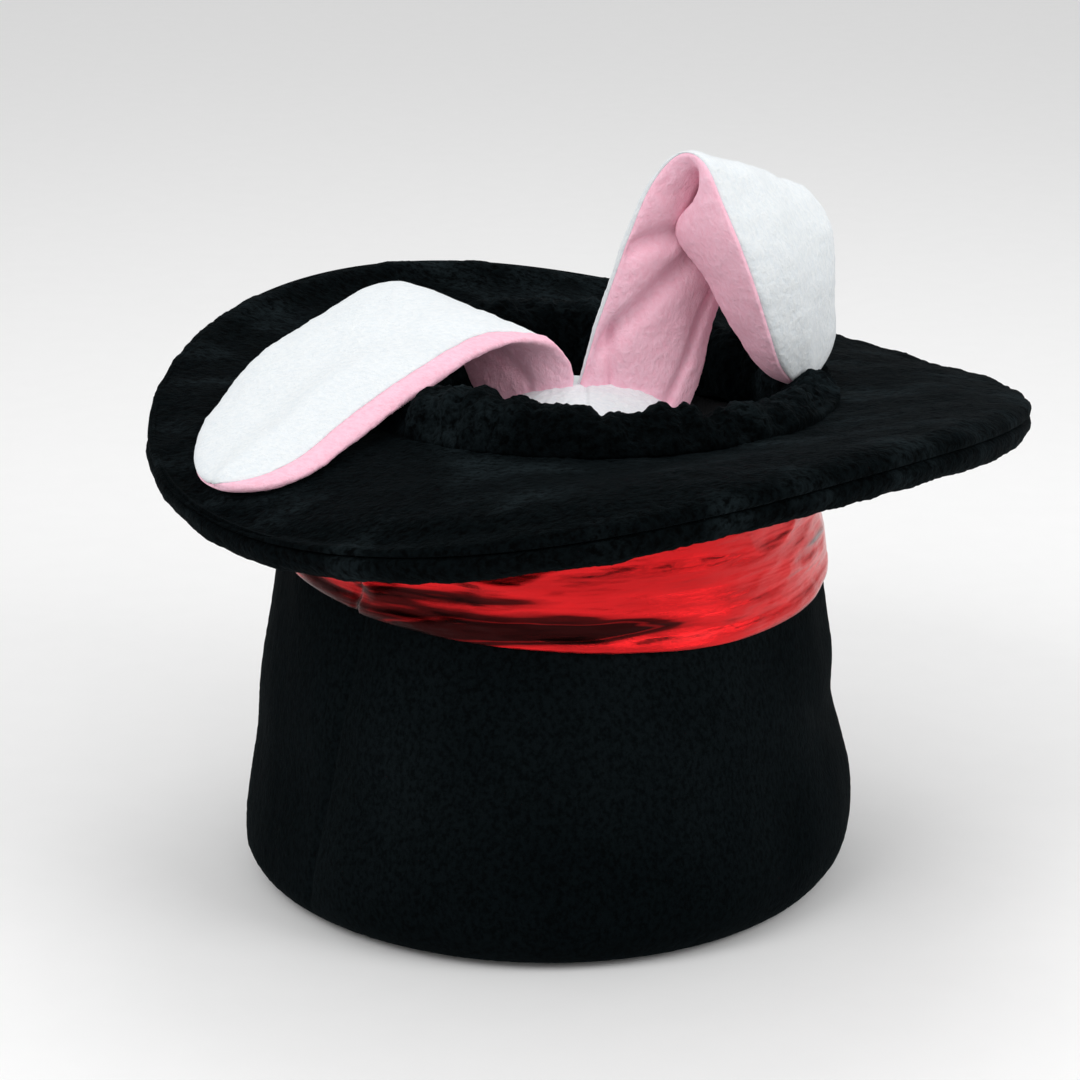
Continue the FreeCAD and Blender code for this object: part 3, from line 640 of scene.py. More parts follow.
def hard_material(name, base, roughness, coat):
    """Moulded plastic with faint handling marks."""
    material = bpy.data.materials.get(name)
    if material:
        return material
    material, tree, shader = new_material(name)
    place = tree.nodes.new("ShaderNodeTexCoord").outputs["Object"]
    marks = noise_node(tree, place, 700.0, 4.0, 0.6)
    link(tree, colour_ramp(tree, marks, ((0.3, shade(base, 0.8)), (0.7, base))), shader.inputs["Base Color"])
    link(tree, number_range(tree, marks, roughness * 0.7, roughness * 1.3), shader.inputs["Roughness"])
    shader.inputs["Coat Weight"].default_value = coat
    shader.inputs["Coat Roughness"].default_value = 0.05
    add_bump(tree, shader, marks, 0.00003)
    return material


def bead_material():
    return hard_material("polished black bead", (0.012, 0.011, 0.013), 0.09, 1.0)


def washer_material():
    return hard_material("moulded white plastic", (0.80, 0.80, 0.79), 0.45, 0.0)


def thread_material():
    """Sewing thread."""
    return woven_material("rose thread", (0.50, 0.16, 0.20), (0.80, 0.38, 0.43), 0.7, 1500.0, 0.0001)


# ---------------------------------------------------------------- hat shapes


CROWN_PROFILE = (
    (86.2, 0.2), (91.0, 0.5), (97.0, 3.0), (101.5, 10.0), (103.0, 20.0), (101.2, 35.0),
    (98.8, 50.0), (96.8, 71.0), (91.8, 100.0), (86.0, 146.6),
)
CROWN_SKIN = 2.4
FOAM_DEPTH = 3.2
FOAM_THICK = 3.9
LINING_DEPTH = 7.4
LINING_THICK = 0.9
PADDING_FLOOR = 3.4
TIP_RADIUS = 85.6
CUFF_RIBS = 76
LINING_COUNT = 240
LINING_FLOOR = 44.0
HEM_LEVEL = 148.4
CROWN_MEET = 147.6
SEAM_ANGLE_LOW = math.radians(-141.0)
SEAM_ANGLE_HIGH = math.radians(-130.0)
FINE_AROUND = 560


def ring_points(angle, radius, level, centre=(0.0, 0.0)):
    """Points at an angle and radius round an upright axis."""
    angle, radius, level = np.broadcast_arrays(angle, radius, level)
    return np.stack([
        centre[0] + radius * np.cos(angle),
        centre[1] + radius * np.sin(angle),
        level,
    ], axis=-1)


def round_angles(count):
    return np.linspace(-math.pi, math.pi, count, endpoint=False)


def seam_angle(level):
    """Where the crown's upright seam runs."""
    share = np.clip(np.asarray(level, float) / 113.0, 0.0, 1.3)
    return SEAM_ANGLE_LOW + (SEAM_ANGLE_HIGH - SEAM_ANGLE_LOW) * share


def crown_folds(angle, level, detail):
    """How far the crown stands out of its plain shape."""
    places = ring_points(angle, 95.0, level)
    rise = ramp(1.0, 14.0, level)
    swell = 1.5 * grain(places, 46.0, 3.1, (1.0, 1.0, 0.35))
    swell = swell + 0.6 * grain(places, 17.0, 8.4, (1.0, 1.0, 0.4))
    beside = turn_gap(angle, seam_angle(level)) * 95.0
    seam = -1.0 * bell(beside, 0.0, 1.2) - 0.9 * bell(beside, 0.0, 8.0) + 0.8 * bell(beside, 13.0, 8.0)
    side = bell(turn_gap(angle, -0.12), 0.0, 0.45)
    pinch = side * (-2.2 * bell(level, 60.0, 11.0) + 1.6 * bell(level, 33.0, 14.0))
    slant = bell(level - 62.0 + 60.0 * turn_gap(angle, -0.35), 0.0, 5.0)
    slant = slant * bell(turn_gap(angle, -0.45), 0.0, 0.4)
    corner = 2.6 * bell(turn_gap(angle, -2.75), 0.0, 0.5) * bell(level, 6.0, 9.0)
    folds = rise * (0.7 * swell + pinch - 0.8 * slant) + corner
    if detail:
        folds = folds + rise * seam + 0.14 * grain(places, 2.1, 5.0)
    return folds


def crown_profile(count):
    """Radius and level along the crown's side, from the tip's seam up to the brim."""
    line = curve_points(CROWN_PROFILE, count)
    return line[:, 0], line[:, 1]


def crown_radius(angle, level, detail=True):
    """Radius of the crown's skin at an angle and level, well above the tip."""
    radius, height = crown_profile(200)
    return np.interp(level, height, radius) + crown_folds(angle, level, detail)


def crown_surface(depth, around, along, detail):
    """The crown's skin, moved inwards by a depth."""
    angle = round_angles(around)[:, None]
    radius, level = crown_profile(along)
    radius = radius[None, :] + crown_folds(angle, level[None, :], detail)
    points = ring_points(angle, radius, np.broadcast_to(level[None, :], radius.shape))
    if depth:
        points = points - grid_normals(points, (True, False)) * depth
    return points


def rim_ellipse(hat, angle):
    """Radius of the brim's rim about the brim's centre."""
    radius = ellipse_radius(angle, hat.brim_length, hat.brim_width)
    return radius + 1.2 * np.cos(5 * angle + 0.6)


def rim_level(hat, angle):
    """Height of the seam that joins the brim's two cloths."""
    lean = hat.brim_tilt * np.cos(angle - math.radians(87.0))
    return hat.brim_level + lean + hat.brim_warp * np.cos(2 * (angle - math.radians(130.0)))


def mouth_ellipse(hat, angle):
    """Radius of the brim's inner edge about the brim's centre."""
    return ellipse_radius(angle, hat.mouth_length, hat.mouth_width)


def crown_reach(hat, angle, radius):
    """Distance from the brim's centre to a circle round the crown's axis."""
    return -hat.brim_centre * np.cos(angle) + np.sqrt(radius ** 2 - (hat.brim_centre * np.sin(angle)) ** 2)


def section_grid(angle, sections, along, centre):
    """Sweeps one (radius, level) line per angle round a centre."""
    rows = []
    for turn, section in zip(angle, sections):
        line = curve_points(section, along)
        rows.append(ring_points(turn, line[:, 0], line[:, 1], centre))
    return np.array(rows)


BRIM_PUFF = 7.0
BACK_PUFF = 0.6
PUFF_ANGLE = math.radians(-62.0)
EAR_DENT = 4.0
EAR_DENT_ANGLE = math.radians(-143.0)
MOUTH_LEVEL = 162.0
BRIM_SKIN = 1.7
BRIM_FOAM_DEPTH = 2.2
BRIM_TOP_STEPS = 66
BRIM_UNDER_STEPS = 54


def brim_height(hat, angle, share):
    """Height of the brim's plain top surface at a share of the way out."""
    return MOUTH_LEVEL + (rim_level(hat, angle) - MOUTH_LEVEL) * share ** 1.6


def brim_top_sections(hat, angle):
    """Lines from the mouth out over the puffed edge to the rim's seam."""
    sections = []
    for turn in angle:
        inner = mouth_ellipse(hat, turn)
        outer = rim_ellipse(hat, turn)
        rim = rim_level(hat, turn)
        width = outer - inner
        puff = BACK_PUFF + (BRIM_PUFF - BACK_PUFF) * bell(turn_gap(turn, PUFF_ANGLE), 0.0, 1.5)
        puff = puff - EAR_DENT * bell(turn_gap(turn, EAR_DENT_ANGLE), 0.0, 0.42)

        def spot(share, lift):
            return inner + width * share, brim_height(hat, turn, share) + lift
        sections.append([
            spot(0.0, 0.0),
            spot(0.15, 0.6),
            spot(0.36, 0.1 + 0.4 * puff),
            spot(0.60, 0.85 * puff),
            spot(0.80, puff),
            (outer - 6.0, rim + 0.80 * puff + 1.0),
            (outer - 1.4, rim + 1.2 + 0.5 * puff),
            (outer - 0.2, rim + 0.8 + 0.2 * puff),
            (outer - 0.7, rim + 0.35),
            (outer - 2.6, rim + 0.1),
        ])
    return sections


def brim_under_sections(hat, angle):
    """Lines from the rim's seam under the brim to the crown."""
    sections = []
    for turn in angle:
        outer = rim_ellipse(hat, turn)
        rim = rim_level(hat, turn)
        inner = crown_reach(hat, turn, 87.6)
        base = rim - 9.5
        width = outer - 11.0 - inner
        sections.append([
            (outer - 2.6, rim - 0.2),
            (outer - 0.9, rim - 0.5),
            (outer - 0.2, rim - 3.0),
            (outer - 2.4, rim - 7.4),
            (outer - 9.0, base - 0.2),
            (inner + width * 0.66, base + (CROWN_MEET - base) * 0.30 - 0.8),
            (inner + width * 0.30, base + (CROWN_MEET - base) * 0.72 - 0.5),
            (inner, CROWN_MEET),
        ])
    return sections


def ruffle(points, normals, coarse, clump, fibre, seed):
    """Pile and wrinkles that stand out of a smooth skin."""
    lift = coarse * grain(points, 19.0, seed) + 0.5 * coarse * grain(points, 8.0, seed + 4.0)
    lift = lift + clump * grain(points, 2.6, seed + 9.0, (1.0, 0.55, 1.0))
    lift = lift + fibre * grain(points, 1.3, seed + 13.0, (1.0, 0.6, 1.0))
    return points + normals * lift[..., None]


def squeeze_floor(item, lowest):
    """Keeps a piece above a level, in millimetres."""
    for vertex in item.data.vertices:
        vertex.co.z = max(vertex.co.z, lowest * MM)


def build_crown():
    """The crown's velvet side, and the foam behind it."""
    outer = crown_surface(0.0, FINE_AROUND, 96, True)
    inner = crown_surface(CROWN_SKIN, FINE_AROUND, 96, False)
    cover = slab("crown_velvet", outer, inner, (True, False), velvet_material())
    finish_piece(cover, "hat", ["crown_side"])
    outer = crown_surface(FOAM_DEPTH, 160, 40, False)[:, :-1]
    inner = crown_surface(FOAM_DEPTH + FOAM_THICK, 160, 40, False)[:, :-1]
    foam = slab("crown_padding", outer, inner, (True, False), foam_material())
    squeeze_floor(foam, PADDING_FLOOR)
    finish_piece(foam, "hat", ["crown_foam"])


def disc_surface(around, along, inner, outer, level, bump, seed):
    """A flat ring that runs outwards along its columns."""
    angle = round_angles(around)[:, None]
    radius = np.linspace(inner, outer, along)[None, :]
    points = ring_points(angle, radius, level)
    return points + np.array([0.0, 0.0, 1.0]) * (bump * grain(points, 9.0, seed))[..., None]


def build_tip(hat):
    """The flat tip's velvet, and the ribbed cuff round the hand opening."""
    hem = hat.opening_radius + 0.2
    low = disc_surface(300, 40, hem, TIP_RADIUS, 0.75, 0.35, 2.0)
    tuck = 0.55 * ramp(80.0, TIP_RADIUS, np.hypot(low[..., 0], low[..., 1]))
    low[..., 2] += 0.10 * grain(low, 2.0, 6.0) - tuck + 0.3
    high = disc_surface(300, 40, hem, TIP_RADIUS, 2.7, 0.1, 4.0)
    tip = slab("crown_tip_velvet", high, low, (True, False), velvet_material())
    squeeze_floor(tip, 0.02)
    finish_piece(tip, "hat", ["crown_tip"])
    angle = round_angles(CUFF_RIBS * 8)[:, None]
    section = np.linspace(0, TURN, 20, endpoint=False)[None, :]
    wave = 0.35 * np.cos(angle * CUFF_RIBS)
    radius = hat.opening_radius - 1.15 + (0.75 + wave * 0.4) * np.cos(section)
    level = 3.3 + 2.9 * np.sin(section) + 0.25 * np.sin(3 * angle)
    cuff = loop_solid("hand_cuff", ring_points(angle, radius, level), cuff_material())
    finish_piece(cuff, "hat", ["hand_opening_binding"])


def build_lining():
    """The lining hangs inside the padding and turns in over the tip's board."""
    angle = round_angles(LINING_COUNT)[:, None]
    radius, level = crown_profile(56)
    keep = level > 12.0
    wall_radius = radius[keep] - LINING_DEPTH - 0.3
    wall_level = level[keep]
    turn_in = curve_points([
        (LINING_FLOOR, 7.7), (60.0, 7.6), (82.0, 7.7), (90.0, 9.4), (wall_radius[0], wall_level[0] + 3.0),
    ], 26)
    line_radius = np.concatenate([turn_in[:-1, 0], wall_radius[1:]])
    line_level = np.concatenate([turn_in[:-1, 1], np.maximum(wall_level[1:], turn_in[-1, 1] + 0.4)])
    grid_level = np.broadcast_to(line_level[None, :], (LINING_COUNT, line_level.size))
    folds = crown_folds(angle, grid_level, False) * ramp(8.0, 20.0, grid_level)
    pleats = 0.35 * np.sin(angle * 31.0) * ramp(8.0, 30.0, grid_level)
    outer = ring_points(angle, line_radius[None, :] + folds + pleats - 0.35, grid_level)
    inner = outer - grid_normals(outer, (True, False)) * LINING_THICK * 0.6
    lining = slab("crown_lining_cloth", outer, inner, (True, False), lining_material())
    finish_piece(lining, "hat", ["crown_lining"])


def build_band(hat):
    """Foil band: wrinkled along its length, tucked under the brim, overlapped at the crown's seam."""
    angle = round_angles(720)[:, None]
    share = np.linspace(0.0, 1.0, 46)[None, :]
    x = 90.0 * np.cos(angle)
    y = 90.0 * np.sin(angle)
    bottom = hat.band_level - 0.075 * x + 0.09 * y + 0.5 * np.sin(3 * angle)
    level = bottom + (HEM_LEVEL - bottom) * share
    places = ring_points(angle, 92.0, level)
    active = 0.55 + 0.75 * bell(turn_gap(angle, math.radians(-112.0)), 0.0, 0.75)
    long_fold = grain(places, 34.0, 21.0, (1.0, 1.0, 3.6))
    short_fold = grain(places, 15.0, 25.0, (1.0, 1.0, 3.2))
    folds = active * (0.8 - 2.3 * np.abs(long_fold) + 0.5 * (0.5 - np.abs(short_fold)))
    beside = turn_gap(angle, seam_angle(level)) * 92.0
    seam = 0.9 * ramp(-1.2, 1.2, beside) * (1 - ramp(2.0, 16.0, beside)) - 0.6 * bell(beside, -1.6, 1.4)
    hem = 0.45 * bell(share, 0.05, 0.05) - 0.35 * bell(share, 0.12, 0.025)
    skin = crown_radius(angle, level, False)
    radius = np.maximum(skin + 1.9 + folds * ramp(0.0, 0.16, share) + seam + hem, skin + 1.1)
    outer = ring_points(angle, radius, level)
    inner = ring_points(angle, skin + 0.5, level)
    band = slab("foil_band", outer, inner, (True, False), foil_material())
    finish_piece(band, "hat", ["hat_band"])


def build_brim(hat):
    """The brim's two plush cloths, sewn at the rim, and the foam between them."""
    fur = fur_material()
    centre = (hat.brim_centre, 0.0)
    angle = round_angles(FINE_AROUND + 80)
    smooth = section_grid(angle, brim_top_sections(hat, angle), BRIM_TOP_STEPS, centre)
    normals = -grid_normals(smooth, (True, False))
    normals = normals * np.sign(normals[:, 20:21, 2:3])
    away = np.linspace(0, 1, BRIM_TOP_STEPS)[None, :, None]
    outer = ruffle(smooth, normals, 0.55, 0.20, 0.20, 31.0)
    outer = smooth + (outer - smooth) * (1 - ramp(0.95, 0.98, away))
    top = slab("brim_top_plush", outer, smooth - normals * BRIM_SKIN, (True, False), fur)
    finish_piece(top, "hat", ["brim_top_cover"])
    below = section_grid(angle, brim_under_sections(hat, angle), BRIM_UNDER_STEPS, centre)
    down = grid_normals(below, (True, False))
    down = down * -np.sign(down[:, 27:28, 2:3])
    lower = ruffle(below, down, 0.5, 0.20, 0.20, 47.0)
    rise = np.linspace(0, 1, BRIM_UNDER_STEPS)[None, :, None]
    lower = below + (lower - below) * ramp(0.02, 0.06, rise) * (1 - ramp(0.93, 1.0, rise))
    under = slab("brim_under_plush", lower, below - down * BRIM_SKIN, (True, False), fur)
    finish_piece(under, "hat", ["brim_under_cover"])
    top_inside = (smooth - normals * BRIM_FOAM_DEPTH)[::4, 4:-9:3]
    under_inside = (below - down * BRIM_FOAM_DEPTH)[::4, 8:-2:3]
    pad = loop_solid("brim_padding", np.concatenate([top_inside, under_inside], axis=1), foam_material())
    finish_piece(pad, "hat", ["brim_foam"])


LIP_LEVELS = (
    (-180, 171.5), (-165, 169.0), (-155, 168.5), (-148, 170.5), (-140, 174.5), (-130, 180.0), (-112, 178.5),
    (-90, 174.5), (-60, 173.5), (-30, 171.0), (0, 169.5), (30, 172.0), (60, 176.0), (90, 178.5),
    (120, 180.5), (150, 180.0), (165, 176.5), (180, 171.5),
)
COLLAR_HALF = 9.0
COLLAR_STEPS = 76
ELASTIC_RADIUS = 1.0


def lip_level(angle):
    """Height of the collar's lip, from LIP_LEVELS's degrees and millimetres."""
    table = np.array(LIP_LEVELS)
    return np.interp(np.degrees(angle), table[:, 0], table[:, 1])


def collar_sections(hat, angle):
    """Closed lines round the gathered collar: out over the lip and down inside the mouth."""
    lips = lip_level(angle)
    kernel = np.hanning(31) / np.hanning(31).sum()
    lips = np.convolve(np.concatenate([lips[-15:], lips, lips[:15]]), kernel, "valid")
    sections = []
    for turn, lip in zip(angle, lips):
        ridge = ellipse_radius(turn, hat.collar_length, hat.collar_width)
        seat = brim_height(hat, turn, 0.15) + 0.9
        half = COLLAR_HALF
        hem = (ridge + half + 0.8, seat)
        sections.append([
            hem,
            (ridge + half + 0.6, seat + 2.5),
            (ridge + half * 0.75, lip - 3.4),
            (ridge + half * 0.25, lip - 0.4),
            (ridge - half * 0.30, lip - 0.6),
            (ridge - half * 0.80, lip - 5.0),
            (ridge - half, lip - 12.0),
            (ridge - half, 155.0),
            (ridge - half * 0.80, 150.6),
            (ridge - half * 0.45, 151.0),
            (ridge - half * 0.25, 157.0),
            (ridge, seat - 1.4),
            (ridge + half * 0.7, seat - 1.0),
            hem,
        ])
    return sections


def build_collar(hat):
    """The gathered collar round the mouth, and the braided elastic inside it."""
    angle = round_angles(620)
    centre = (hat.collar_centre, 0.0)
    smooth = section_grid(angle, collar_sections(hat, angle), COLLAR_STEPS + 1, centre)[:, :-1]
    normals = grid_normals(smooth, (True, True))
    inside = COLLAR_STEPS // 2
    if normals[0, inside, 0] * np.sign(smooth[0, inside, 0] - centre[0]) > 0:
        normals = -normals
    turn = angle[:, None]
    along = np.arange(COLLAR_STEPS)[None, :] / COLLAR_STEPS
    seen = ramp(0.0, 0.08, along) * (1 - ramp(0.62, 0.72, along))
    phase = turn * 38.0 + 2.6 * grain(ring_points(turn, 40.0, 0.0 * turn), 9.0, 3.0)
    gathers = 1.25 * np.sin(phase) * (0.55 + 0.45 * np.sin(turn * 5.0 + 1.0)) * seen
    wad = 1.7 * grain(smooth, 9.0, 61.0, (1.0, 1.0, 0.5)) * seen
    fibre = (0.60 * grain(smooth, 2.4, 65.0) + 0.36 * grain(smooth, 1.3, 69.0)) * seen
    places = smooth + normals * (gathers + wad + fibre)[..., None]
    collar = loop_solid("gathered_collar", places, fur_material())
    finish_piece(collar, "hat", ["mouth_collar"])
    low, high = cad_box("mouth_elastic")
    middle = (low + high) / 2
    half = (high - low) / 2
    section = np.linspace(0, TURN, 14, endpoint=False)[None, :]
    around = round_angles(480)[:, None]
    thick = ELASTIC_RADIUS + 0.14 * np.sin(around * 130.0 + 2 * section)
    reach = ellipse_radius(around, half[0] - 2.0, half[1] - 2.0)
    height = lip_level(around[:, 0])[:, None] - 8.0
    cord = ring_points(
        around, reach + thick * np.cos(section), height + thick * np.sin(section), (middle[0], middle[1]),
    )
    braid = loop_solid("mouth_elastic_braid", cord, elastic_material())
    finish_piece(braid, "hat", ["mouth_elastic"])


# ---------------------------------------------------------------- rabbit shapes


HEAD_CENTRE = (12.0, 4.0, 128.0)
HEAD_RADIUS = 42.0
NECK_LEVEL = 91.0


def head_reach(direction):
    """Distance from the head's centre to its cover along unit directions."""
    def lobe(side, ahead, up, height, spread):
        way = np.array((side, -ahead, up), float)
        way = way / np.linalg.norm(way)
        gap = np.arccos(np.clip(direction @ way, -1.0, 1.0))
        return height * bell(np.degrees(gap), 0.0, spread)
    reach = HEAD_RADIUS - 0.6 + np.zeros(direction.shape[:-1])
    reach = reach + lobe(0.0, 1.0, -0.22, 5.0, 19.0)
    reach = reach + lobe(0.22, 1.0, -0.30, 2.2, 11.0) + lobe(-0.22, 1.0, -0.30, 2.2, 11.0)
    reach = reach + lobe(0.8, 0.6, -0.35, 0.8, 24.0) + lobe(-0.8, 0.6, -0.35, 0.8, 24.0)
    reach = reach - lobe(0.0, 0.0, 1.0, 3.6, 34.0)
    reach = reach - lobe(0.46, 0.9, 0.2, 1.6, 9.0) - lobe(-0.46, 0.9, 0.2, 1.6, 9.0)
    return reach


def globe_ways(around, along, lowest, highest):
    """Unit directions from a centre, round by round and from one tilt to another."""
    angle = round_angles(around)[:, None]
    tilt = np.linspace(lowest, highest, along)[None, :]
    return np.stack(np.broadcast_arrays(
        np.cos(tilt) * np.cos(angle), np.cos(tilt) * np.sin(angle), np.sin(tilt)
    ), axis=-1)


def build_head():
    """White plush head: muzzle, cheeks, eye hollows and a seam over the top, filled round its pocket."""
    lowest = math.asin((NECK_LEVEL - HEAD_CENTRE[2]) / HEAD_RADIUS)
    direction = globe_ways(220, 120, lowest, math.pi / 2 - 0.012)
    reach = head_reach(direction)
    smooth = np.array(HEAD_CENTRE) + direction * reach[..., None]
    seam = bell(smooth[..., 0] - HEAD_CENTRE[0], 0.0, 1.0) * ramp(-0.2, 0.3, direction[..., 2])
    lift = 0.5 * grain(smooth, 14.0, 71.0) + 0.24 * grain(smooth, 2.4, 74.0) - 0.8 * seam
    lift = lift + 0.14 * grain(smooth, 1.4, 77.0)
    outer = smooth + direction * lift[..., None]
    inner = smooth - direction * 1.5
    cover = slab("rabbit_head_plush", outer, inner, (True, False), white_material())
    finish_piece(cover, "rabbit", ["head_cover"])
    low, high = cad_box("finger_pocket")
    hollow = (high[0] - low[0]) / 2 + 0.6
    middle_x, middle_y = (low[0] + high[0]) / 2, (low[1] + high[1]) / 2
    few = smooth[::4, 3::3] - direction[::4, 3::3] * 2.0
    level = few[..., 2]
    around_pocket = np.arctan2(few[..., 1] - middle_y, few[..., 0] - middle_x)
    wall = ring_points(around_pocket, hollow, np.minimum(level, high[2] + 0.8), (middle_x, middle_y))
    top = np.clip((level - high[2]) / (HEAD_RADIUS - 20.0), 0.0, 1.0)[..., None]
    wall = wall * (1 - top) + np.array((middle_x, middle_y, high[2] + 0.8)) * top
    filling = slab("rabbit_head_filling", few, wall, (True, False), stuffing_material())
    finish_piece(filling, "rabbit", ["head_stuffing"])


def blob(name, centre, radii, material, lumps, seed, around=64, along=40):
    """A closed, slightly lumpy padded form."""
    direction = globe_ways(around, along, -math.pi / 2 + 0.03, math.pi / 2 - 0.03)
    smooth = direction * np.array(radii)
    places = smooth + direction * (lumps * grain(smooth, 4.0, seed))[..., None]
    places = places + np.array(centre)
    return capped(name, np.swapaxes(places, 0, 1), material)


def build_face():
    """Bead eyes on washers, a pink plush nose and a stitched mouth."""
    for side in ("left", "right"):
        dress_node(side + "_eye", bead_material())
        dress_node(side + "_eye_washer", washer_material())
    low, high = cad_box("nose")
    middle = (low + high) / 2
    half = (high - low) / 2
    nose = blob("rabbit_nose", middle, half * (0.98, 0.98, 0.98), pink_material(), 0.35, 81.0)
    for vertex in nose.data.vertices:
        drop = (vertex.co.z / MM - middle[2]) / half[2]
        vertex.co.x = (middle[0] + (vertex.co.x / MM - middle[0]) * (0.86 + 0.22 * drop)) * MM
    finish_piece(nose, "rabbit", ["nose"])
    start = np.array([0.0, -1.0, -0.25])
    lines = (
        ((0.0, 0.0, 0.0), (0.0, 0.0, -0.10), (0.0, 0.0, -0.20)),
        ((0.0, 0.0, -0.20), (0.10, 0.0, -0.27), (0.21, 0.0, -0.25)),
        ((0.0, 0.0, -0.20), (-0.10, 0.0, -0.27), (-0.21, 0.0, -0.25)),
    )
    for number, line in enumerate(lines):
        ways = curve_points(start + np.array(line), 26)
        ways = ways / np.linalg.norm(ways, axis=1, keepdims=True)
        path = np.array(HEAD_CENTRE) + ways * (head_reach(ways) + 0.35)[:, None]
        stitch = rope(f"mouth_stitch_{number + 1}", path, 0.55, thread_material())
        finish_piece(stitch, "rabbit", [])


def rope(name, path, radius, material, sides=8):
    """A thin round thread along a path."""
    along = np.gradient(path, axis=0)
    along = along / np.linalg.norm(along, axis=1, keepdims=True)
    side = np.cross(along, (0.03, 0.05, 1.0))
    weak = np.linalg.norm(side, axis=1) < 0.2
    side[weak] = np.cross(along[weak], (1.0, 0.2, 0.0))
    side = side / np.linalg.norm(side, axis=1, keepdims=True)
    up = np.cross(side, along)
    turn = np.linspace(0, TURN, sides, endpoint=False)
    pulse = radius * (1 + 0.22 * np.sin(np.arange(len(path)) * 1.9))[:, None, None]
    ring = side[:, None] * np.cos(turn)[None, :, None] + up[:, None] * np.sin(turn)[None, :, None]
    return capped(name, path[:, None] + ring * pulse, material)


TORSO_PROFILE = (
    (36.0, 20.4), (36.6, 24.0), (35.6, 34.0), (32.6, 50.0), (28.6, 66.0), (24.6, 80.0), (19.4, 85.6),
    (18.6, 90.0),
)
SKIRT_PROFILE = (
    (43.6, 9.0), (49.0, 10.6), (57.0, 12.0), (60.0, 14.4), (56.0, 17.4), (47.0, 19.2), (40.0, 20.8),
    (37.6, 23.6),
)
SKIRT_PLEATS = 22


def build_torso():
    """The glove's body: a soft sleeve with long creases."""
    angle = round_angles(260)[:, None]
    line = curve_points(TORSO_PROFILE, 80)
    level = np.broadcast_to(line[:, 1][None, :], (260, 80))
    centre = tuple((TORSO_LOW + TORSO_HIGH)[:2] / 2)
    smooth = ring_points(angle, line[:, 0][None, :] - 0.3, level, centre)
    normals = grid_normals(smooth, (True, False))
    inside = bell(level, 55.0, 40.0)
    lift = -1.0 * inside * np.abs(grain(smooth, 22.0, 91.0, (1.0, 1.0, 0.3)))
    lift = lift + 0.2 * grain(smooth, 2.3, 94.0)
    outer = smooth + normals * lift[..., None]
    cover = slab("rabbit_body_plush", outer, smooth - normals * 2.1, (True, False), white_material())
    finish_piece(cover, "rabbit", ["torso_sleeve"])


def build_skirt():
    """Gathered cloth that ties the glove's hem to the hat's opening."""
    angle = round_angles(SKIRT_PLEATS * 16)[:, None]
    centre = tuple((SKIRT_LOW + SKIRT_HIGH)[:2] / 2)
    path = curve_points(SKIRT_PROFILE, 60)
    share = np.linspace(0.0, 1.0, 60)[None, :]
    swell = np.sin(share * math.pi)
    main_fold = 1.15 * np.sin(angle * SKIRT_PLEATS + 0.6 * np.sin(angle * 3))
    fold = swell * (main_fold + 0.5 * np.sin(angle * 13 + 1.0))
    radius = path[:, 0][None, :] + fold * 0.9
    level = path[:, 1][None, :] + 0.35 * swell * np.sin(angle * SKIRT_PLEATS + 1.4)
    outer = ring_points(angle, radius, level, centre)
    inner = outer - grid_normals(outer, (True, False)) * 0.5
    skirt = slab("rabbit_skirt_cloth", outer, inner, (True, False), lining_material())
    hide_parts("sleeve_skirt")
    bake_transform(skirt)


def build_pocket():
    """The finger pocket and the tip's board keep their CAD shapes."""
    dress_node("finger_pocket", lining_material())
    dress_node("tip_stiffener", foam_material())


ARM_SPREAD = math.radians(15.0)


def build_arms():
    """Two stuffed arms with rounded paws, each with a pink pad."""
    for side in ("left", "right"):
        low, high = cad_box(side + "_arm_cover")
        joint = JOINTS[side + "_arm_swing"]
        shoulder = np.array(joint["pos_m"]) / MM
        outward = -1.0 if side == "left" else 1.0
        far_x = low[0] if outward < 0 else high[0]
        way = np.array((outward * math.sin(ARM_SPREAD), 0.0, -math.cos(ARM_SPREAD)))
        radius = (high[1] - low[1]) / 2
        reach = (abs(far_x - shoulder[0]) - radius) / math.sin(ARM_SPREAD)
        across = np.array((0.0, 1.0, 0.0))
        third = np.cross(way, across)
        rows, columns = 70, 44
        share = np.linspace(0.0, 1.0, rows)
        start_cap = np.sqrt(np.clip(1 - (1 - np.clip(share / 0.16, 0, 1)) ** 2, 0.0009, 1))
        end_cap = np.sqrt(np.clip(1 - np.clip((share - 0.80) / 0.2, 0, 1) ** 2, 0.0009, 1))
        form = radius * (0.86 + 0.12 * ramp(0.45, 0.85, share)) * start_cap * end_cap
        middle = shoulder + way * (reach * share)[:, None]
        turn = np.linspace(0, TURN, columns, endpoint=False)
        ring = across * np.cos(turn)[:, None] + third * np.sin(turn)[:, None]
        smooth = middle[:, None] + ring[None] * form[:, None, None]
        fade = (start_cap * end_cap)[:, None]
        lift = fade * (0.3 * grain(smooth, 8.0, 101.0) + 0.15 * grain(smooth, 2.2, 104.0))
        arm = capped(side + "_arm_plush", smooth + ring[None] * lift[..., None], white_material())
        finish_piece(arm, side + "_arm", [side + "_arm_cover", side + "_arm_stuffing"])
        dress_node(side + "_arm_paw_pad", pink_material())


# ---------------------------------------------------------------- ears


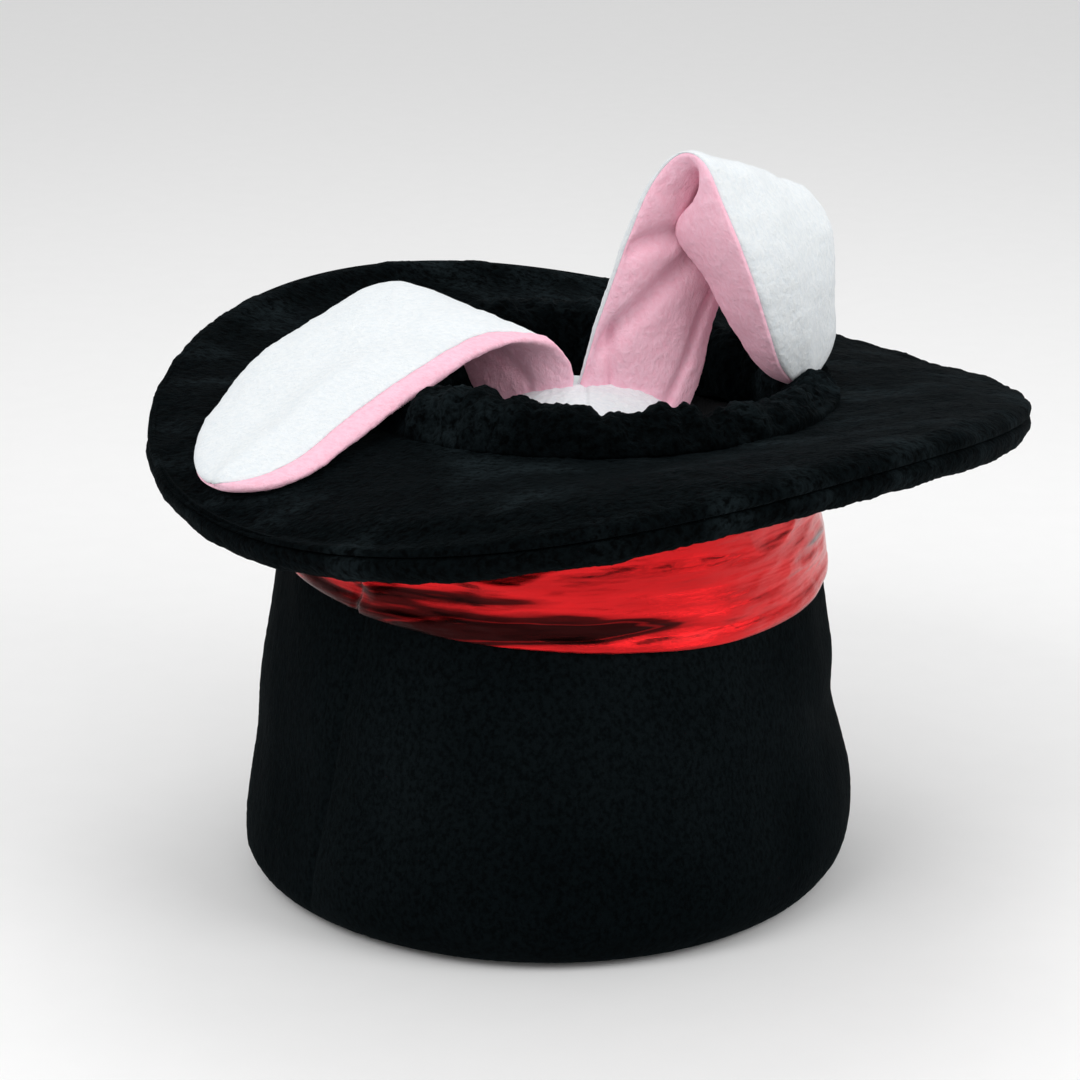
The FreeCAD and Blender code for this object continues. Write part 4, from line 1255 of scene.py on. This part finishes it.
EAR_EDGES = {
    "left": (
        ((6, 3, 156), (8, 0, 165), (7, -4, 175), (-1, -9, 183), (-14, -16, 184), (-25, -24, 181),
         (-41, -40, 174), (-56, -54, 166), (-70, -67, 158), (-83, -76, 153), (-93, -80, 151)),
        ((-19, 9, 150), (-25, 12, 162), (-33, 21, 177), (-40, 25, 189), (-50, 24, 195), (-61, 18, 194),
         (-75, 8, 188), (-94, -8, 178), (-107, -26, 166), (-114, -44, 158), (-117, -56, 153)),
    ),
    "right": (
        ((9, 4, 156), (9, 2, 164), (13, 0, 180), (19, -2, 199), (25, -4, 217), (32, -7, 235),
         (42, -10, 247), (49, -13, 244), (54, -15, 230), (63, -15, 208), (70, -11, 187), (75, -5, 171),
         (78, -2, 163)),
        ((43, 9, 147), (47, 10, 156), (52, 14, 170), (56, 18, 187), (63, 22, 207), (73, 25, 222),
         (82, 26, 229), (89, 26, 222), (94, 25, 211), (95, 23, 193), (95, 20, 176), (93, 16, 168)),
    ),
}
PINK_SIDE = {"left": 1.0, "right": -1.0}
FOLD_ROWS = {"left": (0, 149), "right": (70, 86)}
TIP_ROUND = {"left": 0.17, "right": 0.10}
EAR_HALF = 4.4
EAR_SKIN = 1.25
WADDING_DEPTH = 1.35
ROUND_POWER = 2.4
SEAM_REACH = 0.5
SEAM_SPREAD = 1.35
SEAM_SHIFT = {
    "left": ((0.3, 0.35), (0.6, 0.6)),
    "right": ((-0.85, -0.25), (0.5, 0.5)),
}
LEAF_CHEEK = {"left": 0.0, "right": 28.0}
EAR_CREASES = {
    "left": (((0.10, -0.2), (0.30, 0.5), 1.6, 0.035),),
    "right": (
        ((0.31, -0.90), (0.41, 0.10), 4.2, 0.020),
        ((0.14, -0.80), (0.38, 0.30), 3.4, 0.034),
        ((0.46, -0.20), (0.66, -0.70), 3.0, 0.020),
        ((0.05, -0.45), (0.16, -0.75), 2.2, 0.022),
        ((0.08, 0.55), (0.30, 0.70), 2.0, 0.030),
    ),
}
EAR_ROWS = 150
EAR_COLUMNS = 112


def ear_tube(side):
    """The ear's outer surface as rings of points, each ring running round the ear's section."""
    edge_a, edge_b = EAR_EDGES[side]
    fold = np.array(JOINTS[side + "_ear_unfold"]["pos_m"]) / MM
    near = curve_points(edge_a, EAR_ROWS)
    far = curve_points(edge_b, EAR_ROWS)
    middle = (near + far) / 2
    half = (far - near) / 2
    width = np.linalg.norm(half, axis=1, keepdims=True)
    across = half / width
    along = np.gradient(middle, axis=0)
    along = along / np.linalg.norm(along, axis=1, keepdims=True)
    face = np.cross(along, across)
    face = face / np.linalg.norm(face, axis=1, keepdims=True)
    share = np.linspace(0.0, 1.0, EAR_ROWS)
    span = TIP_ROUND[side]
    end = np.clip((share - (1 - span)) / span, 0.0, 0.9985)
    round_off = (1 - end ** ROUND_POWER) ** (1 / ROUND_POWER)
    bent = bell(np.linalg.norm(middle - fold, axis=1), 0.0, 16.0)
    thick = EAR_HALF * (1 - 0.25 * bent) * round_off ** 0.8 * (0.72 + 0.28 * ramp(0.0, 0.1, share))
    turn = np.linspace(0, TURN, EAR_COLUMNS, endpoint=False)[None, :]
    leaf = ramp(0.48, 0.62, share)[:, None]
    shift = 0.0
    for (base_shift, leaf_shift), edge_turn in zip(SEAM_SHIFT[side], (math.pi, 0.0)):
        near_edge = bell(turn_gap(turn, edge_turn), 0.0, SEAM_SPREAD)
        shift = shift + (base_shift + (leaf_shift - base_shift) * leaf) * near_edge
    round_turn = turn + shift * PINK_SIDE[side]
    flat = np.sign(np.cos(round_turn)) * np.abs(np.cos(round_turn)) ** 0.75
    lift = np.sign(np.sin(round_turn)) * np.abs(np.sin(round_turn)) ** 0.95
    swollen = thick[:, None] * lift
    pink_half = np.clip(lift * PINK_SIDE[side], 0.0, 1.0)
    taper = 1 - 0.62 * ramp(0.66, 1.0, share)[:, None]
    curl = ramp(0.50, 0.66, share)[:, None]
    cheek = LEAF_CHEEK[side] * curl * taper * bell(flat, -0.86, 0.26) * pink_half ** 0.6 * round_off[:, None]
    for first, last, depth, spread in EAR_CREASES[side]:
        run = np.array(last) - np.array(first)
        place_share = (share[:, None] - first[0]) * run[0] + (flat - first[1]) * 0.35 * run[1] * 0.35
        part = np.clip(place_share / (run[0] ** 2 + (0.35 * run[1]) ** 2), 0.0, 1.0)
        off_share = share[:, None] - first[0] - part * run[0]
        off_flat = (flat - first[1] - part * run[1]) * 0.35
        cheek = cheek - depth * bell(np.hypot(off_share, off_flat), 0.0, spread) * ramp(0.1, 0.8, pink_half)
    white_half = np.clip(-lift * PINK_SIDE[side], 0.0, 1.0)
    rib = 1.8 * leaf * bell(flat, -0.25, 0.22) * ramp(0.1, 0.9, white_half) * round_off[:, None]
    swollen = swollen + (cheek - rib) * PINK_SIDE[side]
    smooth = (
        middle[:, None]
        + half[:, None] * (round_off[:, None] * flat)[..., None]
        + face[:, None] * swollen[..., None]
    )
    ease = 0.5 * (bent ** 0.5)[1:-1, None, None]
    for _ in range(30):
        between = (smooth[:-2] + smooth[2:]) / 2
        smooth[1:-1] = smooth[1:-1] * (1 - ease) + between * ease
    normals = grid_normals(smooth, (False, True))
    outward = np.sum(normals[EAR_ROWS // 2] * (smooth[EAR_ROWS // 2] - middle[EAR_ROWS // 2]), axis=1).sum()
    normals = normals * np.sign(outward)
    calm = (1 - ramp(0.90, 1.0, share))[:, None]
    creases = 0.45 + 0.9 * bent[:, None]
    wander = calm * creases * (0.85 * grain(smooth, 15.0, 121.0) + 0.35 * grain(smooth, 6.0, 124.0))
    reach = SEAM_REACH * PINK_SIDE[side]
    edge = bell(turn_gap(turn, -reach), 0.0, 0.10) + bell(turn_gap(turn, math.pi + reach), 0.0, 0.10)
    seam = -0.55 * edge * np.ones_like(share)[:, None]
    pile = calm * (0.13 * grain(smooth, 2.3, 127.0) + 0.10 * grain(smooth, 1.3, 129.0))
    return smooth + normals * (wander + seam + pile)[..., None], normals


def ear_strip(points, normals, first, last):
    """A run of columns of the ear, as outer and inner grids."""
    columns = np.arange(first, last + 1) % EAR_COLUMNS
    outer = points[:, columns]
    inner = outer - normals[:, columns] * EAR_SKIN
    return outer, inner


def crisp_rows(item, columns, layers, cuts):
    """Keeps the shading even where two pieces of one skin meet: the cut rows' edges are sharp."""
    rows = len(item.data.vertices) // (columns * layers)
    for edge in item.data.edges:
        first, second = (vertex // columns % rows for vertex in edge.vertices)
        if first == second and first in cuts:
            edge.use_edge_sharp = True


def ear_nodes(side, whole):
    """The CAD nodes that each part of an ear stands for, length by length."""
    nodes = {}
    for part in ("front", "back", "wadding"):
        base = (f"{side}_ear_base_{part}",)
        fold = (f"{side}_ear_fold_roll",) if part == "back" else ()
        tip = (f"{side}_ear_tip_{part}",)
        nodes[part] = {"base": base, "fold": base + fold + tip if whole else fold, "tip": tip}
    return nodes


def build_ear(side):
    """One ear: pink front that turns round the edge, white back, wadding between, bent at the fold."""
    points, normals = ear_tube(side)
    wrap = int(round(SEAM_REACH / TURN * EAR_COLUMNS))
    halfway = EAR_COLUMNS // 2
    if PINK_SIDE[side] > 0:
        pink = (-wrap, halfway + wrap)
        white = (halfway + wrap, EAR_COLUMNS - wrap)
    else:
        pink = (halfway - wrap, EAR_COLUMNS + wrap)
        white = (wrap, halfway - wrap)
    base_body = side + "_ear_base"
    tip_body = side + "_ear_tip"
    skins = {
        "front": (pink, pink_material(), "pink_plush"),
        "back": (white, white_material(), "white_plush"),
    }
    base_cut, tip_cut = FOLD_ROWS[side]
    stands_for = ear_nodes(side, base_cut == 0)
    lengths = {"base": (0, base_cut), "fold": (base_cut, tip_cut), "tip": (tip_cut, EAR_ROWS - 1)}
    core = points - normals * WADDING_DEPTH
    middle = core.mean(axis=1, keepdims=True)
    core = middle + (core - middle) * 0.97
    for length_name, (first, last) in lengths.items():
        if first == last:
            continue
        rows = slice(first, last + 1)
        joins = [row for row in (base_cut, tip_cut) if row in (first, last) and 0 < row < EAR_ROWS - 1]
        pieces = []
        for part, (columns, material, slot_name) in skins.items():
            outer, inner = ear_strip(points[rows], normals[rows], *columns)
            piece = slab(f"{side}_ear_{part}_{length_name}", outer, inner, (False, False), material)
            crisp_rows(piece, outer.shape[1], 2, [row - first for row in joins])
            pieces.append((piece, slot_name, stands_for[part][length_name]))
        wadding = capped(f"{side}_ear_wadding_{length_name}", core[rows], stuffing_material())
        pieces.append((wadding, "stuffing", stands_for["wadding"][length_name]))
        for piece, slot_name, nodes in pieces:
            if nodes:
                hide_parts(*nodes)
            if length_name == "fold":
                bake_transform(piece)
            else:
                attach(piece, base_body if length_name == "base" else tip_body)


# ---------------------------------------------------------------- studio


def area_light(name, place, aim, size, power):
    """A round, white, soft light that looks at a point."""
    data = bpy.data.lights.new(name, "AREA")
    data.shape = "DISK"
    data.size = size
    data.energy = power
    item = bpy.data.objects.new(name, data)
    bpy.context.scene.collection.objects.link(item)
    item.location = place
    item.rotation_euler = (Vector(aim) - Vector(place)).to_track_quat("-Z", "Y").to_euler()
    return item


def build_stage():
    """The pale floor, the even sky, three soft lights and the camera."""
    studio = bpy.context.scene.studio_settings
    material, tree, shader = new_material("pale studio floor")
    place = tree.nodes.new("ShaderNodeTexCoord").outputs["Object"]
    speck = noise_node(tree, place, 60.0, 4.0, 0.5)
    link(tree, colour_ramp(tree, speck, ((0.3, (0.925, 0.925, 0.925)), (0.7, (0.935, 0.935, 0.935)))),
         shader.inputs["Base Color"])
    shader.inputs["Roughness"].default_value = 0.8
    shader.inputs["Specular IOR Level"].default_value = 0.15
    mesh = bpy.data.meshes.new("studio_floor")
    reach = 14.0
    corner_places = [(-reach, -reach, 0), (reach, -reach, 0), (reach, reach, 0), (-reach, reach, 0)]
    mesh.from_pydata(corner_places, [], [(0, 1, 2, 3)])
    mesh.materials.append(material)
    floor = bpy.data.objects.new("studio_floor", mesh)
    bpy.context.scene.collection.objects.link(floor)
    floor.location.z = -0.0002
    world = bpy.data.worlds.new("studio")
    world.use_nodes = True
    world.node_tree.nodes["Background"].inputs["Color"].default_value = (1.0, 1.0, 1.0, 1.0)
    world.node_tree.nodes["Background"].inputs["Strength"].default_value = studio.sky
    bpy.context.scene.world = world
    aim = (0.0, 0.0, 0.12)
    area_light("key softbox", (-0.75, -0.85, 1.15), aim, 0.8, studio.key_power)
    area_light("fill softbox", (0.95, -0.55, 0.75), aim, 0.7, studio.key_power * 0.72)
    area_light("top softbox", (0.1, 0.55, 1.25), aim, 0.7, studio.key_power * 0.36)
    camera_data = bpy.data.cameras.new("camera")
    camera_data.lens = studio.lens
    camera_data.sensor_width = 36.0
    camera_data.clip_start = 0.01
    camera = bpy.data.objects.new("camera", camera_data)
    bpy.context.scene.collection.objects.link(camera)
    camera.location = studio.eye
    camera.rotation_euler = (Vector(studio.aim) - Vector(studio.eye)).to_track_quat("-Z", "Y").to_euler()
    bpy.context.scene.camera = camera
    bpy.context.scene.view_settings.view_transform = "Standard"


# ---------------------------------------------------------------- add-on


class RABBITHAT_OT_crown(bpy.types.Operator):
    """Build the crown's velvet and its padding"""
    bl_idname = "rabbithat.crown"
    bl_label = "Crown"

    def execute(self, context):
        build_crown()
        return {"FINISHED"}


class RABBITHAT_OT_tip(bpy.types.Operator):
    """Build the flat tip with the knitted cuff of the hand opening"""
    bl_idname = "rabbithat.tip"
    bl_label = "Tip and cuff"

    def execute(self, context):
        build_tip(context.scene.hat_sizes)
        return {"FINISHED"}


class RABBITHAT_OT_lining(bpy.types.Operator):
    """Build the crown's lining"""
    bl_idname = "rabbithat.lining"
    bl_label = "Lining"

    def execute(self, context):
        build_lining()
        return {"FINISHED"}


class RABBITHAT_OT_band(bpy.types.Operator):
    """Build the wrinkled foil band"""
    bl_idname = "rabbithat.band"
    bl_label = "Band"

    def execute(self, context):
        build_band(context.scene.hat_sizes)
        return {"FINISHED"}


class RABBITHAT_OT_brim(bpy.types.Operator):
    """Build the padded brim"""
    bl_idname = "rabbithat.brim"
    bl_label = "Brim"

    def execute(self, context):
        build_brim(context.scene.hat_sizes)
        return {"FINISHED"}


class RABBITHAT_OT_collar(bpy.types.Operator):
    """Build the gathered collar and its elastic"""
    bl_idname = "rabbithat.collar"
    bl_label = "Collar"

    def execute(self, context):
        build_collar(context.scene.hat_sizes)
        return {"FINISHED"}


class RABBITHAT_OT_head(bpy.types.Operator):
    """Build the rabbit's head and face"""
    bl_idname = "rabbithat.head"
    bl_label = "Head"

    def execute(self, context):
        build_head()
        build_face()
        return {"FINISHED"}


class RABBITHAT_OT_body(bpy.types.Operator):
    """Build the glove's body, skirt, pocket and arms"""
    bl_idname = "rabbithat.body"
    bl_label = "Body and arms"

    def execute(self, context):
        build_torso()
        build_skirt()
        build_pocket()
        build_arms()
        return {"FINISHED"}


class RABBITHAT_OT_ears(bpy.types.Operator):
    """Build both ears"""
    bl_idname = "rabbithat.ears"
    bl_label = "Ears"

    def execute(self, context):
        for side in ("left", "right"):
            build_ear(side)
        return {"FINISHED"}


class RABBITHAT_OT_stage(bpy.types.Operator):
    """Build the floor, the lights and the camera"""
    bl_idname = "rabbithat.stage"
    bl_label = "Studio"

    def execute(self, context):
        build_stage()
        return {"FINISHED"}


OPERATORS = (
    RABBITHAT_OT_crown, RABBITHAT_OT_tip, RABBITHAT_OT_lining, RABBITHAT_OT_band, RABBITHAT_OT_brim,
    RABBITHAT_OT_collar, RABBITHAT_OT_head, RABBITHAT_OT_body, RABBITHAT_OT_ears, RABBITHAT_OT_stage,
)


class RABBITHAT_PT_panel(bpy.types.Panel):
    """Sizes, colours and one button for each piece"""
    bl_idname = "RABBITHAT_PT_panel"
    bl_label = "Rabbit Hat"
    bl_space_type = "VIEW_3D"
    bl_region_type = "UI"
    bl_category = "Rabbit Hat"

    def draw(self, context):
        scene = context.scene
        for group in (scene.hat_sizes, scene.plush_colours, scene.studio_settings):
            box = self.layout.box()
            for name in group.bl_rna.properties.keys():
                if name not in ("rna_type", "name"):
                    box.prop(group, name)
        for operator in OPERATORS:
            self.layout.operator(operator.bl_idname)


CLASSES = (HatSizes, PlushColours, StudioSettings, *OPERATORS, RABBITHAT_PT_panel)


def register():
    for item in CLASSES:
        bpy.utils.register_class(item)
    bpy.types.Scene.hat_sizes = PointerProperty(type=HatSizes)
    bpy.types.Scene.plush_colours = PointerProperty(type=PlushColours)
    bpy.types.Scene.studio_settings = PointerProperty(type=StudioSettings)


def unregister():
    del bpy.types.Scene.studio_settings
    del bpy.types.Scene.plush_colours
    del bpy.types.Scene.hat_sizes
    for item in reversed(CLASSES):
        bpy.utils.unregister_class(item)


def main():
    register()
    for operator in OPERATORS:
        group, name = operator.bl_idname.split(".")
        getattr(getattr(bpy.ops, group), name)()


if __name__ == "__main__":
    main()
